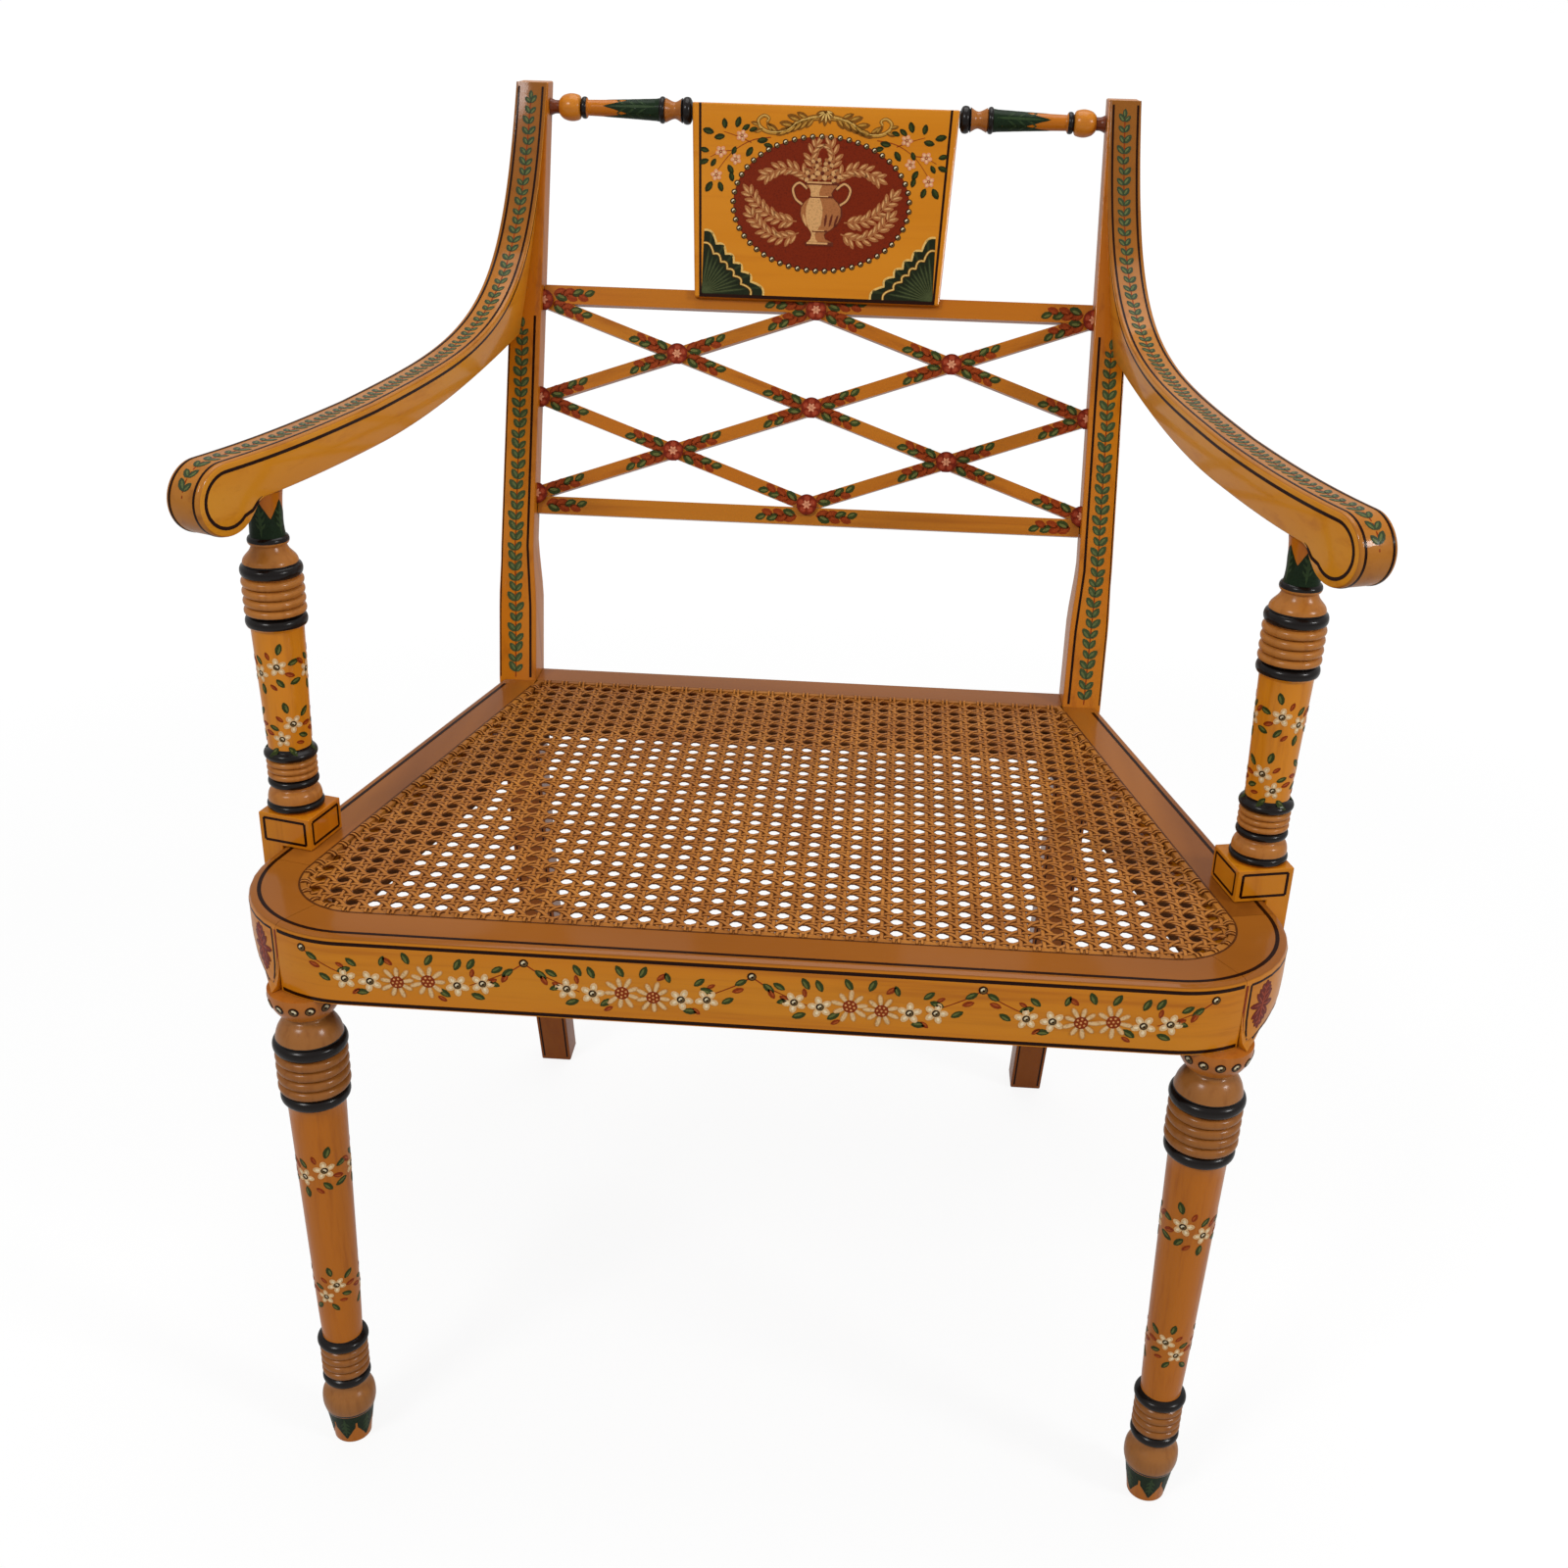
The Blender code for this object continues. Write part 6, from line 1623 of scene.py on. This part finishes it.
for sign in (-1, 1):
    handle = [on_side(sign, *p) for p in curve(*HANDLE)]
    tablet_work.line(handle, 0.0026, TAN_SHADE, 3)
    tablet_work.line(handle, 0.0014, TAN_LIGHT, 4)
    for branch in BRANCHES:
        path = [on_side(sign, *p) for p in curve(*branch)]
        tablet_work.line(path, 0.0010, TAN, 1, 0.0005)
        for k, (at, turn) in enumerate(walk(path, 0.0046)):
            for side in (-1, 1):
                tablet_work.leaf(at, turn + side * radians(36 + 8 * (k % 2)), 0.0082, TAN, TAN_LIGHT, 2, 0.42)
        tablet_work.leaf(path[-1], heading(*path[-2:]), 0.0090, TAN, TAN_LIGHT, 2, 0.42)
for x, w, size in BUNCH:
    at, radius = (x * MM, w * MM), size * MM
    tablet_work.dot(at, radius * 0.9, TAN_SHADE, 5)
    for turn, tint in ((x, TAN), (x + pi / 3, TAN_LIGHT)):
        tablet_work.petals(DOT, at, 3, turn, radius * 0.58, radius * 0.40, radius * 0.32, tint, 6)
    tablet_work.dot(at, radius * 0.28, TAN_SHADE, 7)
show(tablet_work, "crest_tablet_painting")
print("tablet:", len(tablet_work.faces), "faces of paint")

# %% [markdown]
# ## Turned surfaces
# A distance round a turning becomes an angle when it is divided by a radius. One radius serves a whole
# group of strokes, so that a stroke keeps its shape where the turning swells. Two motifs go round the
# turnings: a sprig of two flowers, and a ring of pointed green blades.

# %% Turned surfaces
SPRIG_LEAVES = ((-10, 5, 150, 7), (-4, 10, 95, 7), (4, 2, 40, 6), (-5, -4, -140, 6.5), (9, -8, -30, 7),
                (3, -9, -110, 6.5))
SPRIG_RUST = ((-9, 0, -170, 6), (8, 0, 35, 6), (0, 6, 60, 5), (-2, -8, -150, 5))
BLADE_DARK, BLADE_RIB = colour(26, 42, 24), colour(50, 68, 40)


def turned_face(matrix, profile, girth):
    """A surface round a turning: a distance round it, measured at one radius, and a height."""
    rows = [(z, r) for r, z in profile if r > 0]

    def surface(u, v, lift):
        radius, = from_rows(rows, v)
        angle = u / girth
        return matrix @ Vector(((radius + lift) * sin(angle), -(radius + lift) * cos(angle), v))
    return surface


def sprig(work, at, turn, size):
    """Two flowers on a slant, with green and rust leaves about them."""
    def near(x, z):
        return at[0] + size * (x * cos(turn) - z * sin(turn)), at[1] + size * (x * sin(turn) + z * cos(turn))

    for x, z, degrees, length in SPRIG_LEAVES:
        work.leaf(near(x, z), radians(degrees) + turn, length * size)
    for x, z, degrees, length in SPRIG_RUST:
        work.rust_leaf(near(x, z), radians(degrees) + turn, length * size)
    work.blossom(near(-4.5, 3), 5.4 * size, turn)
    work.blossom(near(4.5, -3.5), 5.0 * size, turn + 0.5)


def blades(work, at_v, turn, length, count, radius, width):
    """Pointed green leaves side by side round a turning, each with a lighter rib and veins."""
    for ring in (0.0010, 0.0038):
        collar = at_v + sin(turn) * ring
        work.straight((0, collar), (2.02 * pi * radius, collar), 0.0034, BLADE_DARK, step=0.0015)
    for k in range(count):
        root = (2 * pi * radius * k / count, at_v)
        work.stroke(BLADE, root, turn, length, width, BLADE_DARK, 1)
        work.stroke(LEAF, root, turn, length * 0.9, width * 0.10, BLADE_RIB, 2)
        for share in (0.2, 0.38, 0.56):
            vein = away(root, turn, length * share)
            for side in (-1, 1):
                work.stroke(LEAF, vein, turn + side * radians(35), length * 0.24, width * 0.07, BLADE_RIB, 2)


print("a sprig has", len(SPRIG_LEAVES) + len(SPRIG_RUST), "leaves")

# %% [markdown]
# ## Flowers on the turnings
# Sprigs go round the shafts of the legs and supports, blades stand round each support's neck, along the
# spindles and down the feet, and a row of gilt studs rings the cup under the seat. A painting's surface can
# be changed as it grows, so each group of strokes gets its own radius.

# %% Flowers on the turnings
STUDS, STUD_RADIUS, CUP_GIRTH = 14, 0.0030, 0.0203
FOOT_GIRTH, NECK_GIRTH, SPINDLE_GIRTH = 0.0135, 0.0094, 0.0068
LEG_SPRIGS = (0.215, 0.0155, 0.2), (0.126, 0.0135, -0.3)
SUPPORT_SPRIGS = (0.4890, 0.0142, 0.2), (0.4510, 0.0130, -0.3)
leg_work = Painting(None)
for height, radius, turn in LEG_SPRIGS:
    leg_work.surface = turned_face(leg_place, leg_profile, radius)
    for k in range(3):
        sprig(leg_work, (2 * pi * radius * (k + 0.1 * turn) / 3, height), turn, MM * radius / 0.0128)
leg_work.surface = turned_face(leg_place, leg_profile, CUP_GIRTH)
for k in range(STUDS):
    leg_work.pearl((2 * pi * CUP_GIRTH * k / STUDS, LEG_TOP - 0.0064), STUD_RADIUS)
leg_work.surface = turned_face(leg_place, leg_profile, FOOT_GIRTH)
blades(leg_work, 0.0232, -pi / 2, 0.0195, 6, FOOT_GIRTH, 0.0190)
show_both(leg_work, "front_leg_painting")
support_work = Painting(None)
for height, radius, turn in SUPPORT_SPRIGS:
    support_work.surface = turned_face(support_place, support_profile, radius)
    for k in range(3):
        sprig(support_work, (2 * pi * radius * (k + 0.5 * turn) / 3, height), turn, MM * 1.05)
support_work.surface = turned_face(support_place, support_profile, NECK_GIRTH)
blades(support_work, SUPPORT_TOP - 0.0248, pi / 2, 0.0205, 5, NECK_GIRTH, 0.0180)
show_both(support_work, "arm_support_painting")
spindle_work = Painting(turned_face(spindle_place, spindle_profile, SPINDLE_GIRTH))
blades(spindle_work, SPINDLE_END - 0.0246, -pi / 2, 0.0400, 4, SPINDLE_GIRTH, 0.0190)
show_both(spindle_work, "crest_spindle_painting")
print("turnings:", len(leg_work.faces) + len(support_work.faces) + len(spindle_work.faces), "faces of paint")

# %% [markdown]
# ## Seat corners
# Fine black lines panel each corner of the seat, and a maroon spray fills the panel. The corner is drawn in
# toward the leg at its foot, so its paint is moved to the nearest wood, like the arm's.

# %% Seat corners
PANEL_NEAR, PANEL_FAR = FILLET + 0.0042, CORNER_END - 0.0060
PANEL_TOP, PANEL_BOTTOM, PANEL_DROP, PANEL_STEPS = 0.3735, 0.3560, 0.0190, 40
PANEL_LINE = 0.0015
LOZENGE, LOZENGE_TILT, LOZENGE_HALF = (FILLET + 0.0165, 0.3572), radians(82), 0.0152


def corner_face(u, v, lift):
    return laid_on(woods["front_corner_block_right"], front_face(u, v, 0.0), lift)


corner_work = Painting(corner_face)
panel = [(PANEL_NEAR, PANEL_BOTTOM - PANEL_DROP), (PANEL_NEAR, PANEL_TOP), (PANEL_FAR, PANEL_TOP),
         (PANEL_FAR, PANEL_BOTTOM)]
for a, b in zip(panel, panel[1:]):
    corner_work.straight(a, b, PANEL_LINE, INK)
foot_line = [(PANEL_FAR + (PANEL_NEAR - PANEL_FAR) * t, PANEL_BOTTOM - PANEL_DROP * t ** 0.7)
             for t in spaced(0, 1, PANEL_STEPS)]
corner_work.line(foot_line, PANEL_LINE, INK)
corner_work.straight((FILLET + 0.0010, 0.3362), (FILLET + 0.0010, 0.3740), 0.0016, RUST)
lozenge_foot = away(LOZENGE, LOZENGE_TILT, -LOZENGE_HALF)
corner_work.stroke(LEAF, lozenge_foot, LOZENGE_TILT, 2 * LOZENGE_HALF, 0.0090, MAROON, 1)
for share in (0.20, 0.34, 0.47, 0.50, 0.53, 0.66, 0.80):
    root = away(lozenge_foot, LOZENGE_TILT, 2 * LOZENGE_HALF * share)
    length = 0.0108 * (1 - 1.7 * abs(share - 0.5))
    slant = radians(90 - 42 * ((share > 0.5) - (share < 0.5)))
    for side in (-1, 1):
        corner_work.stroke(LEAF, root, LOZENGE_TILT + side * slant, length, 0.0042, MAROON, 1)
        corner_work.stroke(LEAF, root, LOZENGE_TILT + side * slant, length * 0.7, 0.0009, MAROON_LIGHT, 2)
corner_work.stroke(LEAF, lozenge_foot, LOZENGE_TILT, 1.9 * LOZENGE_HALF, 0.0012, MAROON_LIGHT, 3)
show_both(corner_work, "seat_corner_painting")
print("corners:", len(corner_work.faces), "faces of paint")

# %% [markdown]
# ## Seat lines
# A black line runs round the top of the seat, and a dark brown line of painted shade fills the groove round
# the cane. On each side rail, lines above and below frame a trail of leaves like the one on the posts.

# %% Seat lines
SIDE_LENGTH = 0.296
# The groove line's colour is painted shade where the binder meets the seat.
GROOVE_SHADE, GROOVE_LINE = colour(88, 48, 20), 0.0012
SEAT_INSET, SEAT_LINE = 0.0060, 0.0022


def seat_face(u, v, lift):
    """A distance along the rim of the seat, and a distance in from it."""
    place = front_face(u, 0.0, -v)
    return Vector((place.x, place.y, SEAT_TOP + lift))


def groove_face(u, v, lift):
    """A distance along the cane's opening, and a distance inside it."""
    return Vector((*cane_rim(u, v), SEAT_TOP + lift))


seat_work, groove_shade_work, side_work = Painting(seat_face), Painting(groove_face), Painting(front_face)
side_end, rim_end = CORNER_END + SIDE_LENGTH, cane_bend + CANE_SIDE
seat_work.straight((-side_end, SEAT_INSET), (side_end, SEAT_INSET), SEAT_LINE, INK)
show(seat_work, "seat_line_painting")
# Painted shade round the edge of the cane.
groove_shade_work.straight((-rim_end, 0.0), (rim_end, 0.0), GROOVE_LINE, GROOVE_SHADE)
show(groove_shade_work, "cane_groove_shade_line")
for near, far in ((0.003, 0.0135), (0.0515, SIDE_LENGTH)):
    for height in LINE_HEIGHTS:
        side_work.straight((CORNER_END + near, height), (CORNER_END + far, height), LINE_THICK, INK)
trail(side_work, [(CORNER_END + 0.0560 + 0.0058 * k, 0.3560) for k in range(41)])
show_both(side_work, "side_rail_painting")
print("seat lines:", len(seat_work.faces) + len(groove_shade_work.faces) + len(side_work.faces), "faces of paint")

# %% [markdown]
# ## Rear legs and blocks
# A fine line goes down either edge of each rear leg, and a frame of lines goes round each face of the
# blocks under the arm supports.

# %% Rear legs and blocks
KNEE, FOOT_SETBACK = SEAT_TOP - 0.036, 0.062
REAR_X, REAR_DRAW = 0.207, 0.005
REAR_LINE = 0.0013
BLOCK_MARGIN, BLOCK_GAP, BLOCK_LINE = 0.0034, 0.0030, 0.0016


def rear_leg_face(u, v, lift):
    """The front of a rear leg, which sweeps back towards its foot."""
    below = max(0.0, (KNEE - v) / KNEE)
    place = Vector((REAR_X - REAR_DRAW * below + u, POST_Y + FOOT_SETBACK * below ** 1.5, v))
    return laid_on(woods["rear_post_right"], place, lift)


def block_face(crosswise, out, depth):
    """A face of the block, square to its Y axis if it lies crosswise, and to its X axis if not."""
    def surface(u, v, lift):
        off = depth + out * lift
        return block_frame @ Vector((u, off, v) if crosswise else (off, u, v))
    return surface


rear_work = Painting(rear_leg_face)
for sign in (-1, 1):
    rear_work.straight((sign * 0.0112, KNEE - 0.002), (sign * 0.0098, 0.004), REAR_LINE, INK, step=0.006)
show_both(rear_work, "rear_leg_lines")
BLOCK_FACES = (("front", block_face(True, -1, -BLOCK_HALF), BLOCK_IN, BLOCK_OUT, BLOCK_SEAT),
               ("back", block_face(True, 1, BLOCK_HALF), BLOCK_IN, BLOCK_OUT, BLOCK_SEAT),
               ("inner", block_face(False, -1, BLOCK_IN), -BLOCK_HALF, BLOCK_HALF, BLOCK_SEAT),
               ("outer", block_face(False, 1, BLOCK_OUT), -BLOCK_HALF, BLOCK_HALF, BLOCK_TAIL + BLOCK_SLOPE))
for name, surface, low, high, foot in BLOCK_FACES:
    block_work = Painting(surface)
    left, right = low + BLOCK_MARGIN, high - BLOCK_MARGIN
    bottom, top = foot + BLOCK_GAP, BLOCK_TOP - BLOCK_GAP
    corners = [(left, bottom), (right, bottom), (right, top), (left, top)]
    for a, b in zip(corners, corners[1:] + corners[:1]):
        block_work.straight(a, b, BLOCK_LINE, INK)
    show_both(block_work, "support_block_" + name + "_lines")
print("lines on", len(BLOCK_FACES), "faces of each block")

# %% [markdown]
